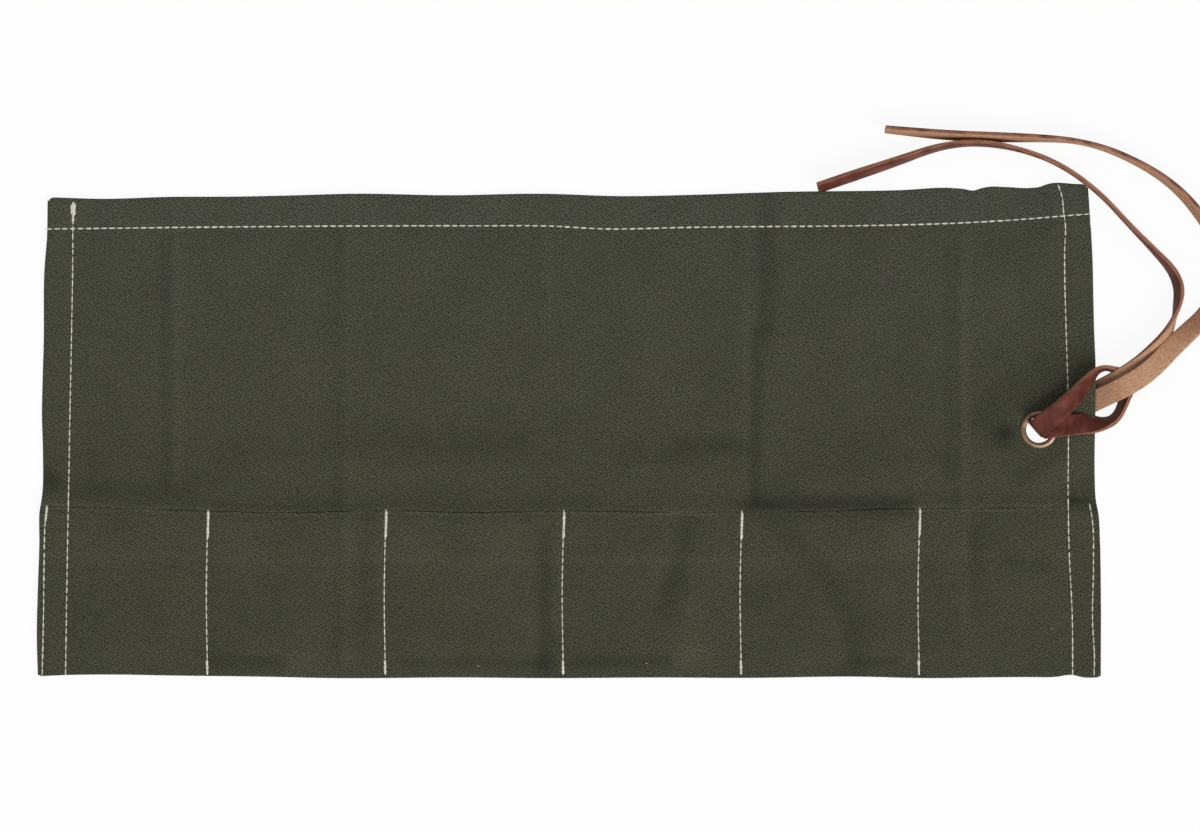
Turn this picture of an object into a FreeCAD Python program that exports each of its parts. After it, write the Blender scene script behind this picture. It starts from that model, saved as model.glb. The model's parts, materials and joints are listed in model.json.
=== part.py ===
import FreeCAD, Part
import math
import os
import Sketcher

# A canvas watch roll laid open: six pockets along the bottom, a leather tie hitched through an eyelet.
# Frame: X along the roll, Y from the bottom fold to the top hem, Z up from the table, origin mid-panel.
# The canvas is divided at the five pocket seams, which are the lines that it rolls up on.

DIMENSIONS = {
    # cloth and its outline
    "cloth": 0.9,
    "left_pocket": 76.5,
    "pocket_pitch": 80.0,
    "right_pocket": 81.5,
    "panel_height": 221.0,
    "top_drop": 5.0,
    "pocket_depth": 76.5,
    "flare_height": 8.0,
    "mouth_inset": 2.4,
    "top_inset": 5.9,
    "corner_radius": 3.0,
    "corner_cut": 2.0,
    "fold_radius": 0.7,
    "crease_gap": 0.3,
    # turned hems and the seams that hold them
    "top_hem": 17.5,
    "top_seam": 15.5,
    "side_hem": 14.5,
    "side_seam": 12.6,
    "edge_seam": 2.6,
    "seam_end": 0.5,
    "thread_width": 0.7,
    "thread_height": 0.4,
    # pocket fronts, standing a little open
    "pocket_rise": 5.6,
    "seam_flange": 4.0,
    "edge_flange": 16.5,
    "pocket_slope": 10.0,
    "fold_taper": 20.0,
    "fold_rise": 0.3,
    "mouth_hem": 20.0,
    # swelling of the canvas over the two strands of tie under it
    "swell_clearance": 0.2,
    "swell_reach": 20.0,
    "swell_low": 11.0,
    "swell_high": 31.0,
    "swell_ramp": 13.0,
    "swell_edge": 1.6,
    # eyelet and its washer
    "eyelet_edge": 28.0,
    "eyelet_above_mouth": 35.0,
    "eyelet_bore": 11.6,
    "eyelet_flange": 16.8,
    "eyelet_wall": 0.5,
    "eyelet_dome": 0.9,
    "eyelet_edge_height": 0.3,
    "eyelet_shoulder": 0.8,
    "eyelet_shoulder_in": 0.45,
    "washer_thickness": 0.7,
    "fit_clearance": 0.1,
    # leather tie
    "strap_width": 9.4,
    "strap_thickness": 2.2,
}

COLUMNS = 6
LAST = COLUMNS
FULL_PITCHES = COLUMNS - 2

doc = FreeCAD.newDocument("watch_roll")
sheet = doc.addObject("Spreadsheet::Sheet", "dims")
for row, (alias, size) in enumerate(DIMENSIONS.items(), start=1):
    sheet.set(f"A{row}", alias)
    sheet.set(f"B{row}", str(size))
    sheet.setAlias(f"B{row}", alias)
doc.recompute()

# Levels and lines that several pieces share, as expressions on the sheet
HALF = f"((dims.left_pocket + {FULL_PITCHES} * dims.pocket_pitch + dims.right_pocket) / 2)"
BOTTOM = "(-dims.panel_height / 2)"
TOP_RIGHT = "(dims.panel_height / 2)"
MOUTH = f"({BOTTOM} + dims.pocket_depth)"
FLARE = f"({MOUTH} + dims.flare_height)"
BACK_LOW = "dims.cloth"
BACK_TOP = "(2 * dims.cloth)"
FLANGE_TOP = "(3 * dims.cloth)"
UNDER_WASHER = "(2 * dims.strap_thickness + 3 * dims.swell_clearance + dims.eyelet_wall)"
SWELL_LOW = f"({UNDER_WASHER} + dims.washer_thickness)"
SWELL_TOP = f"({SWELL_LOW} + dims.cloth)"
EYELET_X = f"({HALF} - dims.eyelet_edge)"
EYELET_Y = f"({MOUTH} + dims.eyelet_above_mouth)"
RIGHT_EDGE = f"({HALF} - dims.mouth_inset)"


def crease(k):
    """X of the seam between column k and column k + 1."""
    return f"(dims.left_pocket + {k - 1} * dims.pocket_pitch - {HALF})"


def column_left(k):
    return f"(-{HALF})" if k == 1 else f"({crease(k - 1)} + dims.crease_gap / 2)"


def column_right(k):
    return HALF if k == LAST else f"({crease(k)} - dims.crease_gap / 2)"


def top_edge(x):
    """Y of the top edge, which falls a little towards the left."""
    return f"({TOP_RIGHT} - dims.top_drop * ({HALF} - {x}) / (2 * {HALF}))"


def new_body(label):
    body = doc.addObject("PartDesign::Body", label)
    body.Label = label
    return body


def plane_of(body, role):
    return next(f for f in body.Origin.OriginFeatures if f.Role == role)


def outline(body, name, role, corners, offset="0"):
    """A closed outline on an origin plane, each corner at two expressions on the sheet."""
    sketch = body.newObject("Sketcher::SketchObject", name)
    sketch.AttachmentSupport = (plane_of(body, role), [""])
    sketch.MapMode = "FlatFace"
    sketch.setExpression("AttachmentOffset.Base.z", offset)
    count = len(corners)
    turn = 2 * math.pi / count
    start = [FreeCAD.Vector(math.cos(turn * i), math.sin(turn * i), 0) for i in range(count)]
    for i in range(count):
        sketch.addGeometry(Part.LineSegment(start[i], start[(i + 1) % count]))
    for i in range(count):
        sketch.addConstraint(Sketcher.Constraint("Coincident", i, 2, (i + 1) % count, 1))
    for i, corner in enumerate(corners):
        for kind, place, expression in zip(("DistanceX", "DistanceY"), start[i], corner):
            index = sketch.addConstraint(Sketcher.Constraint(kind, -1, 1, i, 1, place))
            sketch.setExpression(f"Constraints[{index}]", expression)
    return sketch


def circle(body, name, radius):
    """A circle round the origin of the body's XY plane."""
    sketch = body.newObject("Sketcher::SketchObject", name)
    sketch.AttachmentSupport = (plane_of(body, "XY_Plane"), [""])
    sketch.MapMode = "FlatFace"
    sketch.addGeometry(Part.Circle(FreeCAD.Vector(), FreeCAD.Vector(0, 0, 1), 1))
    sketch.addConstraint(Sketcher.Constraint("Coincident", 0, 3, -1, 1))
    index = sketch.addConstraint(Sketcher.Constraint("Radius", 0, 1))
    sketch.setExpression(f"Constraints[{index}]", radius)
    return sketch


def rectangle(x0, x1, y0, y1):
    return [(x0, y0), (x1, y0), (x1, y1), (x0, y1)]


def pad(body, name, sketch, length):
    feature = body.newObject("PartDesign::Pad", name)
    feature.Profile = sketch
    feature.setExpression("Length", length)
    return feature


def loft(body, name, kind, sections):
    feature = body.newObject(f"PartDesign::{kind}", name)
    feature.Profile = sections[0]
    feature.Sections = sections[1:]
    feature.Ruled = True


def fillet(body, name, chosen, radius):
    """Rounds the edges of the body's shape so far for which chosen(edge) is true."""
    doc.recompute()
    base = body.Tip
    names = [f"Edge{i}" for i, edge in enumerate(base.Shape.Edges, start=1) if chosen(edge)]
    feature = body.newObject("PartDesign::Fillet", name)
    feature.Base = (base, names)
    feature.setExpression("Radius", radius)


def value(alias):
    return float(sheet.get(alias))


def half_length():
    return (value("left_pocket") + FULL_PITCHES * value("pocket_pitch") + value("right_pocket")) / 2


def is_bottom_corner(edge):
    """An upright edge at the bottom left or bottom right corner of the open canvas."""
    box, half_cloth = edge.BoundBox, value("cloth") / 2
    upright = max(box.XLength, box.YLength) < half_cloth < box.ZLength
    at_end = abs(box.Center.x) > half_length() - half_cloth
    return upright and at_end and box.Center.y < half_cloth - value("panel_height") / 2


def end_x(k, inset):
    """X at a distance inside the left end, for column 1, or the right end, for the last column."""
    return f"({inset} - {HALF})" if k == 1 else f"({HALF} - {inset})"


def side_inset(k, below_top):
    """How far the sloping side of the upper canvas lies inside the pocket strip's end."""
    slope = f"(dims.top_inset - dims.mouth_inset) / ({top_edge(end_x(k, 'dims.top_inset'))} - {FLARE})"
    return f"(dims.top_inset - {slope} * {below_top})"


def side_point(k, below_top):
    """A corner on the side of the upper canvas, at a distance below its top edge."""
    top = top_edge(end_x(k, "dims.top_inset"))
    return end_x(k, side_inset(k, below_top)), f"({top} - {below_top})"


def top_line(k):
    """The top edge of one column from its right end to its left end, with the canvas corner cut off."""
    points = []
    for end, x in ((LAST, column_right(k)), (1, column_left(k))):
        if k == end:
            x = end_x(k, "(dims.top_inset + dims.corner_cut)")
        points.append((x, top_edge(x)))
    if k == LAST:
        points.insert(0, side_point(k, "dims.corner_cut"))
    if k == 1:
        points.append(side_point(k, "dims.corner_cut"))
    return points


def side_line(k):
    """The free side of an end column from the bottom fold up to where the upper canvas starts."""
    return [(end_x(k, "0"), BOTTOM), (end_x(k, "0"), MOUTH), (end_x(k, "dims.mouth_inset"), FLARE)]


def panel_corners(k):
    """Plan of one column of the back panel, anticlockwise from its bottom left corner."""
    right_side = side_line(k) if k == LAST else [(column_right(k), BOTTOM)]
    left_side = side_line(k)[::-1] if k == 1 else [(column_left(k), BOTTOM)]
    return right_side + top_line(k) + left_side


def top_hem_corners(k):
    """Plan of the cloth turned under along the top edge of one column."""
    left, right = column_left(k), column_right(k)
    start = (left, f"({top_edge(left)} - dims.top_hem)")
    end = (right, f"({top_edge(right)} - dims.top_hem)")
    if k == 1:
        start = side_point(k, "dims.top_hem")
    if k == LAST:
        end = side_point(k, "dims.top_hem")
    return [start, end] + top_line(k)


def side_hem_corners(k):
    """Plan of the cloth turned under along the free side of an end column, below the top hem."""
    edge = side_line(k) + [side_point(k, "dims.top_hem")]
    inward = "+" if k == 1 else "-"
    inner = [(f"({x} {inward} dims.side_hem)", y) for x, y in edge]
    return edge + inner[::-1]


def is_top_fold(edge, lowest):
    """The two long edges of the fold along the top of the canvas."""
    box = edge.BoundBox
    outer = box.ZMax < value("fold_radius") or box.ZMin > 2 * value("cloth") - value("fold_radius")
    return box.YMin > lowest and box.XLength > value("pocket_pitch") / 2 and outer


def swell_over_tie(body):
    """Lifts the canvas between the eyelet and the right edge, where the tie passes under it."""
    x0 = f"({EYELET_X} - dims.swell_reach)"
    low, high = f"({EYELET_Y} - dims.swell_low)", f"({EYELET_Y} + dims.swell_high)"
    ramp, past = "dims.swell_ramp", f"({RIGHT_EDGE} + dims.swell_ramp)"
    foot = (f"({x0} - {ramp})", f"({low} - {ramp})", f"({high} + {ramp})")
    crest = (x0, low, high)
    for name, kind, edge, levels in (
        ("swell", "AdditiveLoft", f"({RIGHT_EDGE} - dims.swell_edge)", (BACK_TOP, SWELL_TOP)),
        ("swell_under", "SubtractiveLoft", past, ("0", SWELL_LOW)),
    ):
        sections = [
            outline(body, f"{name}_{i}", "XY_Plane", rectangle(x, edge, y0, y1), level)
            for i, ((x, y0, y1), level) in enumerate(zip((foot, crest), levels))
        ]
        loft(body, name, kind, sections)
    hole = circle(body, "eyelet_hole_plan", "dims.eyelet_bore / 2 + dims.eyelet_wall + dims.fit_clearance")
    hole.setExpression("AttachmentOffset.Base.x", EYELET_X)
    hole.setExpression("AttachmentOffset.Base.y", EYELET_Y)
    hole.setExpression("AttachmentOffset.Base.z", SWELL_TOP)
    cut = body.newObject("PartDesign::Pocket", "eyelet_hole")
    cut.Profile = hole
    cut.setExpression("Length", BACK_TOP)


def back_panel(k):
    """One column of the back panel: the face cloth and the hems turned under it."""
    body = new_body(f"back_panel_{k}")
    face = outline(body, f"face_plan_{k}", "XY_Plane", panel_corners(k), BACK_LOW)
    pad(body, f"face_{k}", face, BACK_LOW)
    top_hem = outline(body, f"top_hem_plan_{k}", "XY_Plane", top_hem_corners(k))
    pad(body, f"top_hem_{k}", top_hem, BACK_LOW)
    if k in (1, LAST):
        side_hem = outline(body, f"side_hem_plan_{k}", "XY_Plane", side_hem_corners(k))
        pad(body, f"side_hem_{k}", side_hem, BACK_LOW)
        fillet(body, f"corners_{k}", is_bottom_corner, "dims.corner_radius")
    if k == LAST:
        swell_over_tie(body)
    top = value("panel_height") / 2 - value("top_drop") - value("fold_radius")
    fillet(body, f"fold_{k}", lambda edge: is_top_fold(edge, top), "dims.fold_radius")


def pocket_front(k):
    """One pocket front: sewn flat along both seams, standing open between them, shut at the bottom fold."""
    body = new_body(f"pocket_{k}")
    left, right = column_left(k), column_right(k)
    left_flange = f"({left} + {'dims.edge_flange' if k == 1 else 'dims.seam_flange'})"
    right_flange = f"({right} - {'dims.edge_flange' if k == LAST else 'dims.seam_flange'})"
    left_crown = f"({left_flange} + dims.pocket_slope)"
    right_crown = f"({right_flange} - dims.pocket_slope)"

    def section(name, y, rise):
        across = (left, left_flange, left_crown, right_crown, right_flange, right)
        lifts = ("0", "0", rise, rise, "0", "0")
        inner = [(x, f"({BACK_TOP} + {lift})") for x, lift in zip(across, lifts)]
        outer = [(x, f"({FLANGE_TOP} + {lift})") for x, lift in zip(across, lifts)]
        return outline(body, f"{name}_{k}", "XZ_Plane", inner + outer[::-1], f"(-{y})")

    sections = [
        section("mouth", MOUTH, "dims.pocket_rise"),
        section("taper", f"({BOTTOM} + dims.fold_taper)", "dims.pocket_rise"),
        section("fold", BOTTOM, "dims.fold_rise"),
    ]
    loft(body, f"front_{k}", "AdditiveLoft", sections)
    crown = f"({BACK_TOP} + dims.pocket_rise)"
    turned = rectangle(left_crown, right_crown, f"({crown} - dims.cloth)", crown)
    hem_end = outline(body, f"mouth_hem_end_{k}", "XZ_Plane", turned, f"(-{MOUTH})")
    pad(body, f"mouth_hem_{k}", hem_end, "dims.mouth_hem")
    if k in (1, LAST):
        fillet(body, f"pocket_corner_{k}", is_bottom_corner, "dims.corner_radius")


def revolved(label, profile):
    """A turned piece on the eyelet's axis, its profile given as radius and height over the canvas."""
    body = new_body(label)
    sketch = outline(body, f"{label}_profile", "XZ_Plane", profile)
    turn = body.newObject("PartDesign::Revolution", f"{label}_turn")
    turn.Profile = sketch
    turn.ReferenceAxis = (sketch, ["V_Axis"])
    turn.Angle = 360
    body.setExpression("Placement.Base.x", EYELET_X)
    body.setExpression("Placement.Base.y", EYELET_Y)
    body.setExpression("Placement.Base.z", SWELL_TOP)


BARREL = "(dims.eyelet_bore / 2)"
BARREL_OUT = f"({BARREL} + dims.eyelet_wall)"
WASHER_LOW = "(-dims.cloth - dims.washer_thickness)"


def eyelet():
    """Rolled front flange, barrel through the canvas, and the lip clinched over the washer."""
    rim, dome = "(dims.eyelet_flange / 2)", "dims.eyelet_dome"
    clinch = f"({WASHER_LOW} - dims.eyelet_wall)"
    lip = f"({BARREL_OUT} + 2 * dims.eyelet_wall)"
    profile = [
        (BARREL, clinch),
        (lip, clinch),
        (lip, WASHER_LOW),
        (BARREL_OUT, WASHER_LOW),
        (BARREL_OUT, "0"),
        (rim, "0"),
        (rim, "dims.eyelet_edge_height"),
        (f"({rim} - dims.eyelet_shoulder_in)", "dims.eyelet_shoulder"),
        (f"({rim} - {dome})", dome),
        (f"({BARREL} + {dome})", dome),
        (f"({BARREL} + dims.eyelet_edge_height)", "dims.eyelet_shoulder"),
        (BARREL, "dims.eyelet_edge_height"),
    ]
    revolved("eyelet", profile)


def eyelet_washer():
    inner = f"({BARREL_OUT} + dims.fit_clearance)"
    outer = "(dims.eyelet_flange / 2)"
    revolved("eyelet_washer", rectangle(inner, outer, WASHER_LOW, "(-dims.cloth)"))


def thread_on_plan(label, corners, level):
    """A row of sewing seen from above, as one flat run of thread on the cloth."""
    body = new_body(label)
    plan = outline(body, f"{label}_plan", "XY_Plane", corners, level)
    pad(body, f"{label}_run", plan, "dims.thread_height")


def top_hem_thread(k):
    left = f"(dims.top_inset + dims.seam_end - {HALF})" if k == 1 else column_left(k)
    right = f"({HALF} - dims.top_inset - dims.seam_end)" if k == LAST else column_right(k)
    line = [(x, f"({top_edge(x)} - dims.top_seam") for x in (left, right)]
    low = [(x, f"{y})") for x, y in line]
    high = [(x, f"{y} + dims.thread_width)") for x, y in line]
    thread_on_plan(f"top_hem_thread_{k}", low + high[::-1], BACK_TOP)


def pocket_thread(label, x):
    """A seam up one pocket's flange from the bottom fold to the mouth, its left edge at x."""
    ends = (f"({BOTTOM} + dims.seam_end)", f"({MOUTH} - dims.seam_end)")
    thread_on_plan(label, rectangle(x, f"({x} + dims.thread_width)", *ends), FLANGE_TOP)


def side_hem_thread(label, side, humps):
    """A hem's row, which steps down off the pocket's mouth and leans with the side of the canvas."""
    body = new_body(label)
    start, step = "dims.seam_end", "(dims.pocket_depth + 2 * dims.fit_clearance)"
    end = "(dims.panel_height - dims.top_drop - dims.top_seam - dims.seam_end)"
    low = [(start, FLANGE_TOP), (step, FLANGE_TOP), (step, BACK_TOP), *humps, (end, BACK_TOP)]
    lift = "dims.thread_height"
    high = [(f"({y} + {lift})" if y == step else y, f"({z} + {lift})") for y, z in low]
    seen_from_side = outline(body, f"{label}_side", "YZ_Plane", low + high[::-1])
    run = pad(body, f"{label}_run", seen_from_side, "dims.thread_width")
    run.Midplane = True
    lean = "atan((dims.top_inset - dims.mouth_inset) / (dims.panel_height - dims.pocket_depth))"
    body.setExpression("Placement.Base.x", f"{side} * ({HALF} - dims.side_seam)")
    body.setExpression("Placement.Base.y", BOTTOM)
    body.Placement.Rotation = FreeCAD.Rotation(FreeCAD.Vector(0, 0, 1), 1)
    body.setExpression("Placement.Rotation.Angle", f"{side} * {lean}")


def swell_humps():
    """Where the right hem's row climbs over the swelling, measured up from the bottom fold."""
    foot = "(dims.pocket_depth + dims.eyelet_above_mouth"
    low, high = f"{foot} - dims.swell_low", f"{foot} + dims.swell_high"
    over = f"({SWELL_TOP} + dims.fit_clearance)"
    return [
        (f"{low} - dims.swell_ramp - dims.swell_clearance)", BACK_TOP),
        (f"{low} - dims.swell_clearance)", over),
        (f"{high} + dims.swell_clearance)", over),
        (f"{high} + dims.swell_ramp + dims.swell_clearance)", BACK_TOP),
    ]


# The tie is one leather strap. Its route is hand-chosen points from the eyelet's axis and the table,
# each with the strap's lean in degrees: 0 lies flat, 90 stands on edge.
BIGHT_ROUTE = [
    (-1.1, -0.5, 2.45, 0),
    (-1.08, -0.49, 11.9, 0),
    (4.4, 4.6, 11.9, 0),
    (12, 11.9, 11.6, 0),
    (18.5, 18.6, 10.2, 0),
    (23.9, 24.6, 9.4, 2),
    (28.7, 30, 8.9, 8),
    (35.8, 30.6, 6.2, 22),
    (40.8, 26, 3.5, 30),
    (42.4, 18.8, 3.6, 30),
    (42.6, 12.4, 4.1, 40),
    (40.4, 6.4, 4.6, 44),
    (35.6, 1.8, 6.4, 30),
    (28.8, -0.4, 8.9, 8),
    (20, -1.6, 9.3, 2),
    (11.4, -1.4, 9.3, 0),
    (5.6, -0.5, 9.3, 0),
    (1.12, 0.51, 9.3, 0),
    (1.1, 0.5, 4.85, 0),
]
SHORT_TAIL_ROUTE = [
    (1.4, 0.8, 3.7, 0),
    (9.4, 5.4, 3.7, 0),
    (17.6, 10.2, 3.7, 0),
    (26, 14.7, 3.95, 0),
    (31.2, 18, 8.4, 0),
    (36.2, 22.4, 12.6, 2),
    (41.8, 28.2, 12.8, 18),
    (47.8, 35.2, 10, 45),
    (55, 43.4, 6.4, 76),
    (60.6, 52, 5.1, 98),
    (63.4, 61, 5, 110),
    (62, 69.6, 5, 108),
    (56.2, 77.4, 5, 98),
    (47.6, 86.4, 5, 92),
    (37.4, 97.2, 5, 90),
    (26.2, 107.9, 5, 90),
    (14.6, 117.2, 5, 90),
    (2.4, 123.6, 5, 90),
    (-10, 127.2, 5, 90),
    (-22.6, 128.6, 5, 90),
    (-40.2, 128.8, 5, 92),
    (-60.6, 124.6, 5, 100),
    (-80.2, 116.6, 5, 108),
    (-96.6, 112.4, 5, 112),
]
LONG_TAIL_ROUTE = [
    (-4, -2, 1.2, 0),
    (6.8, 3, 1.2, 0),
    (17.6, 8.2, 1.2, 0),
    (28.2, 13.3, 1.25, 0),
    (34.8, 16.7, 5, 0),
    (41.4, 20.4, 9.6, 0),
    (50.6, 25.6, 6.6, 0),
    (59.6, 32.6, 2.8, 0),
    (67.2, 41.8, 1.5, -2),
    (74.8, 51.4, 3.6, -20),
    (81.6, 62.2, 5, -48),
    (84, 74.6, 5, -68),
    (80.2, 86.8, 5, -66),
    (72.4, 97.2, 5, -62),
    (62.8, 106.4, 5, -62),
    (51.8, 115.6, 5, -66),
    (39.8, 122.8, 5, -76),
    (27, 127.6, 5, -84),
    (11.4, 130.8, 5, -84),
    (-7.4, 132.4, 5, -78),
    (-27, 132.8, 5, -74),
    (-47.6, 134.4, 5, -74),
    (-68.8, 136, 5, -74),
]
# an arc takes this share of the shorter run beside it, and turns no more than this between two sections
RUN_SHARE = 0.45
ARC_STEP = math.radians(30)
# a strap climbing more steeply than this keeps the side that it had before
STEEP = 0.3
EYELET_FOOT = FreeCAD.Vector(
    half_length() - value("eyelet_edge"),
    value("pocket_depth") - value("panel_height") / 2 + value("eyelet_above_mouth"),
    0,
)


def stations(route):
    """Places along straight runs joined by tangent arcs, each with its heading and the strap's lean."""
    points = [EYELET_FOOT + FreeCAD.Vector(x, y, z) for x, y, z, lean in route]
    leans = [lean for x, y, z, lean in route]
    first = (points[1] - points[0]).normalize()
    last = (points[-1] - points[-2]).normalize()
    found = [(points[0], first, leans[0])]
    radii = []
    for before, corner, after, lean in zip(points, points[1:], points[2:], leans[1:]):
        into, out = corner - before, after - corner
        turn = into.getAngle(out)
        reach = RUN_SHARE * min(into.Length, out.Length)
        radius = reach / math.tan(turn / 2)
        radii.append(radius)
        into.normalize()
        out.normalize()
        side = (out - into * into.dot(out)).normalize()
        begin = corner - into * reach
        steps = math.ceil(turn / ARC_STEP)
        for i in range(steps + 1):
            angle = turn * i / steps
            place = begin + into * (radius * math.sin(angle)) + side * (radius * (1 - math.cos(angle)))
            heading = into * math.cos(angle) + side * math.sin(angle)
            found.append((place, heading, lean))
    found.append((points[-1], last, leans[-1]))
    return found, radii


def strap(label, route):
    """A flat strap along its route: a ruled loft through its oblong section, turned by the lean."""
    half_width, half_thickness = value("strap_width") / 2, value("strap_thickness") / 2
    along, radii = stations(route)
    sections = []
    across_before = None
    for place, heading, lean in along:
        across = FreeCAD.Vector(-heading.y, heading.x, 0)
        if across.Length < STEEP and across_before is not None:
            across = across_before - heading * heading.dot(across_before)
        across.normalize()
        across_before = across
        up = heading.cross(across)
        tilt = math.radians(lean)
        wide = (across * math.cos(tilt) + up * math.sin(tilt)) * half_width
        thick = (up * math.cos(tilt) - across * math.sin(tilt)) * half_thickness
        corners = [place + wide + thick, place - wide + thick, place - wide - thick, place + wide - thick]
        sections.append(Part.makePolygon(corners + corners[:1]))
    length = sum((b[0] - a[0]).Length for a, b in zip(along, along[1:]))
    node = doc.addObject("Part::Feature", label)
    node.Label = label
    node.Shape = Part.makeLoft(sections, True, True)
    expected = length * value("strap_width") * value("strap_thickness")
    print(f"{label}: {length:.0f} mm long, tightest radius {min(radii):.1f} mm, "
          f"volume {node.Shape.Volume / expected:.3f} of section times length")


for k in range(1, COLUMNS + 1):
    back_panel(k)
    pocket_front(k)
    top_hem_thread(k)
    if k < LAST:
        pocket_thread(f"divider_thread_{k}", column_left(k + 1))
pocket_thread("left_pocket_thread", f"(dims.edge_seam - {HALF})")
pocket_thread("right_pocket_thread", f"({HALF} - dims.edge_seam - dims.thread_width)")
side_hem_thread("left_hem_thread", -1, [])
side_hem_thread("right_hem_thread", 1, swell_humps())
eyelet()
eyelet_washer()
strap("tie_bight", BIGHT_ROUTE)
strap("tie_tail_short", SHORT_TAIL_ROUTE)
strap("tie_tail_long", LONG_TAIL_ROUTE)
doc.recompute()

failed = [o.Label for o in doc.Objects if "Invalid" in o.State or "Error" in o.State]
nodes = [o for o in doc.Objects if o.TypeId in ("PartDesign::Body", "Part::Feature")]
failed += [o.Label for o in nodes if o.Shape.isNull() or not o.Shape.isValid()]
if failed:
    raise RuntimeError(f"these did not build: {failed}")
os.makedirs("parts", exist_ok=True)
for node in nodes:
    node.Shape.exportStep(f"parts/{node.Label}.step")
print(f"{len(nodes)} nodes written")
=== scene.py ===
import json
import math

import bpy
import numpy as np
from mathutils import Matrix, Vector


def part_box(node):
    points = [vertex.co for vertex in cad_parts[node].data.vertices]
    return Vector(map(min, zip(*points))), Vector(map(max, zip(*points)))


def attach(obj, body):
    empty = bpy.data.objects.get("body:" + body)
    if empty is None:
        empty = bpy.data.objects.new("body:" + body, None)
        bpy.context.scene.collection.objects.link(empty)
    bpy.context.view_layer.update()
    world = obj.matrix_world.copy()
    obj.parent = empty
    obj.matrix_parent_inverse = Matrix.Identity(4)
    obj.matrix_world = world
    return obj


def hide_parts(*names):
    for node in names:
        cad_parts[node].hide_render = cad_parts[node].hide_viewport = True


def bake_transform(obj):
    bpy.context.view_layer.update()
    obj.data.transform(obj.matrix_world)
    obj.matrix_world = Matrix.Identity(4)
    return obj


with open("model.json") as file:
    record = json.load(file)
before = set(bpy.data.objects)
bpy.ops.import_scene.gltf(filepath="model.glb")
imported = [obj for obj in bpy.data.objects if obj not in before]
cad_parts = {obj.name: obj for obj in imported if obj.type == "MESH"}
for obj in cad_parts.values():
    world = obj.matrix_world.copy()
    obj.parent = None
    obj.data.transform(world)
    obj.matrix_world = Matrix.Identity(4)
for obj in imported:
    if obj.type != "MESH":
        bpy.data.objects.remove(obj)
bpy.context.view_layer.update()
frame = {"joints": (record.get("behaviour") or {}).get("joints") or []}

# A canvas watch roll laid open on a pale table and seen from straight above.
# Sizes and places here are millimetres in the shared frame; meshes are made in metres.
MM = 0.001


def node_box(node):
    """The two corners of a node's box in millimetres."""
    low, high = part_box(node)
    return low / MM, high / MM


# The seams that the roll folds on, and the lines halfway between them that divide the cloth
SEAMS = sorted(joint["pos_m"][0] / MM for joint in frame["joints"])
HALVES = [(a + b) / 2 for a, b in zip(SEAMS, SEAMS[1:])]
LEFT = node_box("pocket_1")[0].x
RIGHT = node_box("pocket_6")[1].x
EYELET_LOW, EYELET_HIGH = node_box("eyelet")
EYELET = (EYELET_LOW + EYELET_HIGH) / 2
BORE = 11.6
HOLE_RADIUS = BORE / 2 + 0.8
FLANGE = EYELET_HIGH.x - EYELET_LOW.x

# The cloth's thickness, the radius and turns of its folds, its hems, and how far it lies off the table
CLOTH = 0.62
FOLD = 0.34
FOLD_TURNS = np.radians((-60, -30, 0, 30, 60))
TOP_HEM = 17.5
SIDE_HEM = 14.5
MOUTH_HEM = 20.0
LAYER = 2 * FOLD
FACE_LEVEL = LAYER + CLOTH / 2
REST_LIFT = 0.75
MOUTH_RISE = 0.6
# Radius of the cloth's rounded corners, and how near they come to a full quarter turn
CORNER = 0.9
CORNER_TURN = 0.98
# Spacing of the grid that the cloth is made on
CELL = 1.6

# Outline of the open canvas as smooth lines through a few places
LEFT_EDGE = [(-110, -238.8), (-92, -239.3), (-70, -238.8), (-50, -238.1), (-36, -238.0), (-28, -236.9),
             (-10, -236.6), (8, -237.1), (24, -236.8), (40, -236.3), (74, -235.9), (88, -234.8),
             (104, -234.5)]
RIGHT_EDGE = [(-110, 239.1), (-75, 239.2), (-48, 238.7), (-38, 238.2), (-30, 236.9), (-20, 236.5),
              (37, 236.4), (60, 235.9), (78, 235.5), (88, 235.0), (98, 234.3), (111, 233.4)]
TOP_EDGE = [(-236, 105.2), (-215, 104.6), (-180, 105.5), (-150, 105.6), (-130, 106.0), (-94, 106.9),
            (-55, 106.2), (-13, 106.9), (25, 105.8), (59, 106.5), (95, 107.7), (149, 108.5), (173, 109.5),
            (179.5, 109.0), (184, 108.3), (188, 109.4), (191.5, 110.0), (200, 109.9), (212, 109.5),
            (217, 110.1), (219.5, 111.0), (236, 111.2)]
BOTTOM_EDGE = [(-240, -109.6), (-226, -109.0), (-205, -108.8), (-180, -109.2), (-140, -109.7),
               (-105, -110.4), (-50, -110.1), (-10, -110.4), (40, -110.1), (80, -110.3), (127, -109.7),
               (165, -110.4), (185, -110.1), (205, -109.9), (219, -109.8), (226, -108.9), (231, -110.0),
               (240, -110.0)]
MOUTH_EDGE = [(-240, -33.4), (-200, -34.6), (-163, -35.8), (-125, -36.6), (-83, -35.6), (-45, -36.6),
              (-3, -35.8), (38, -36.4), (78, -36.2), (117, -35.9), (157, -34.7), (200, -34.4), (240, -32.8)]

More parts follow.
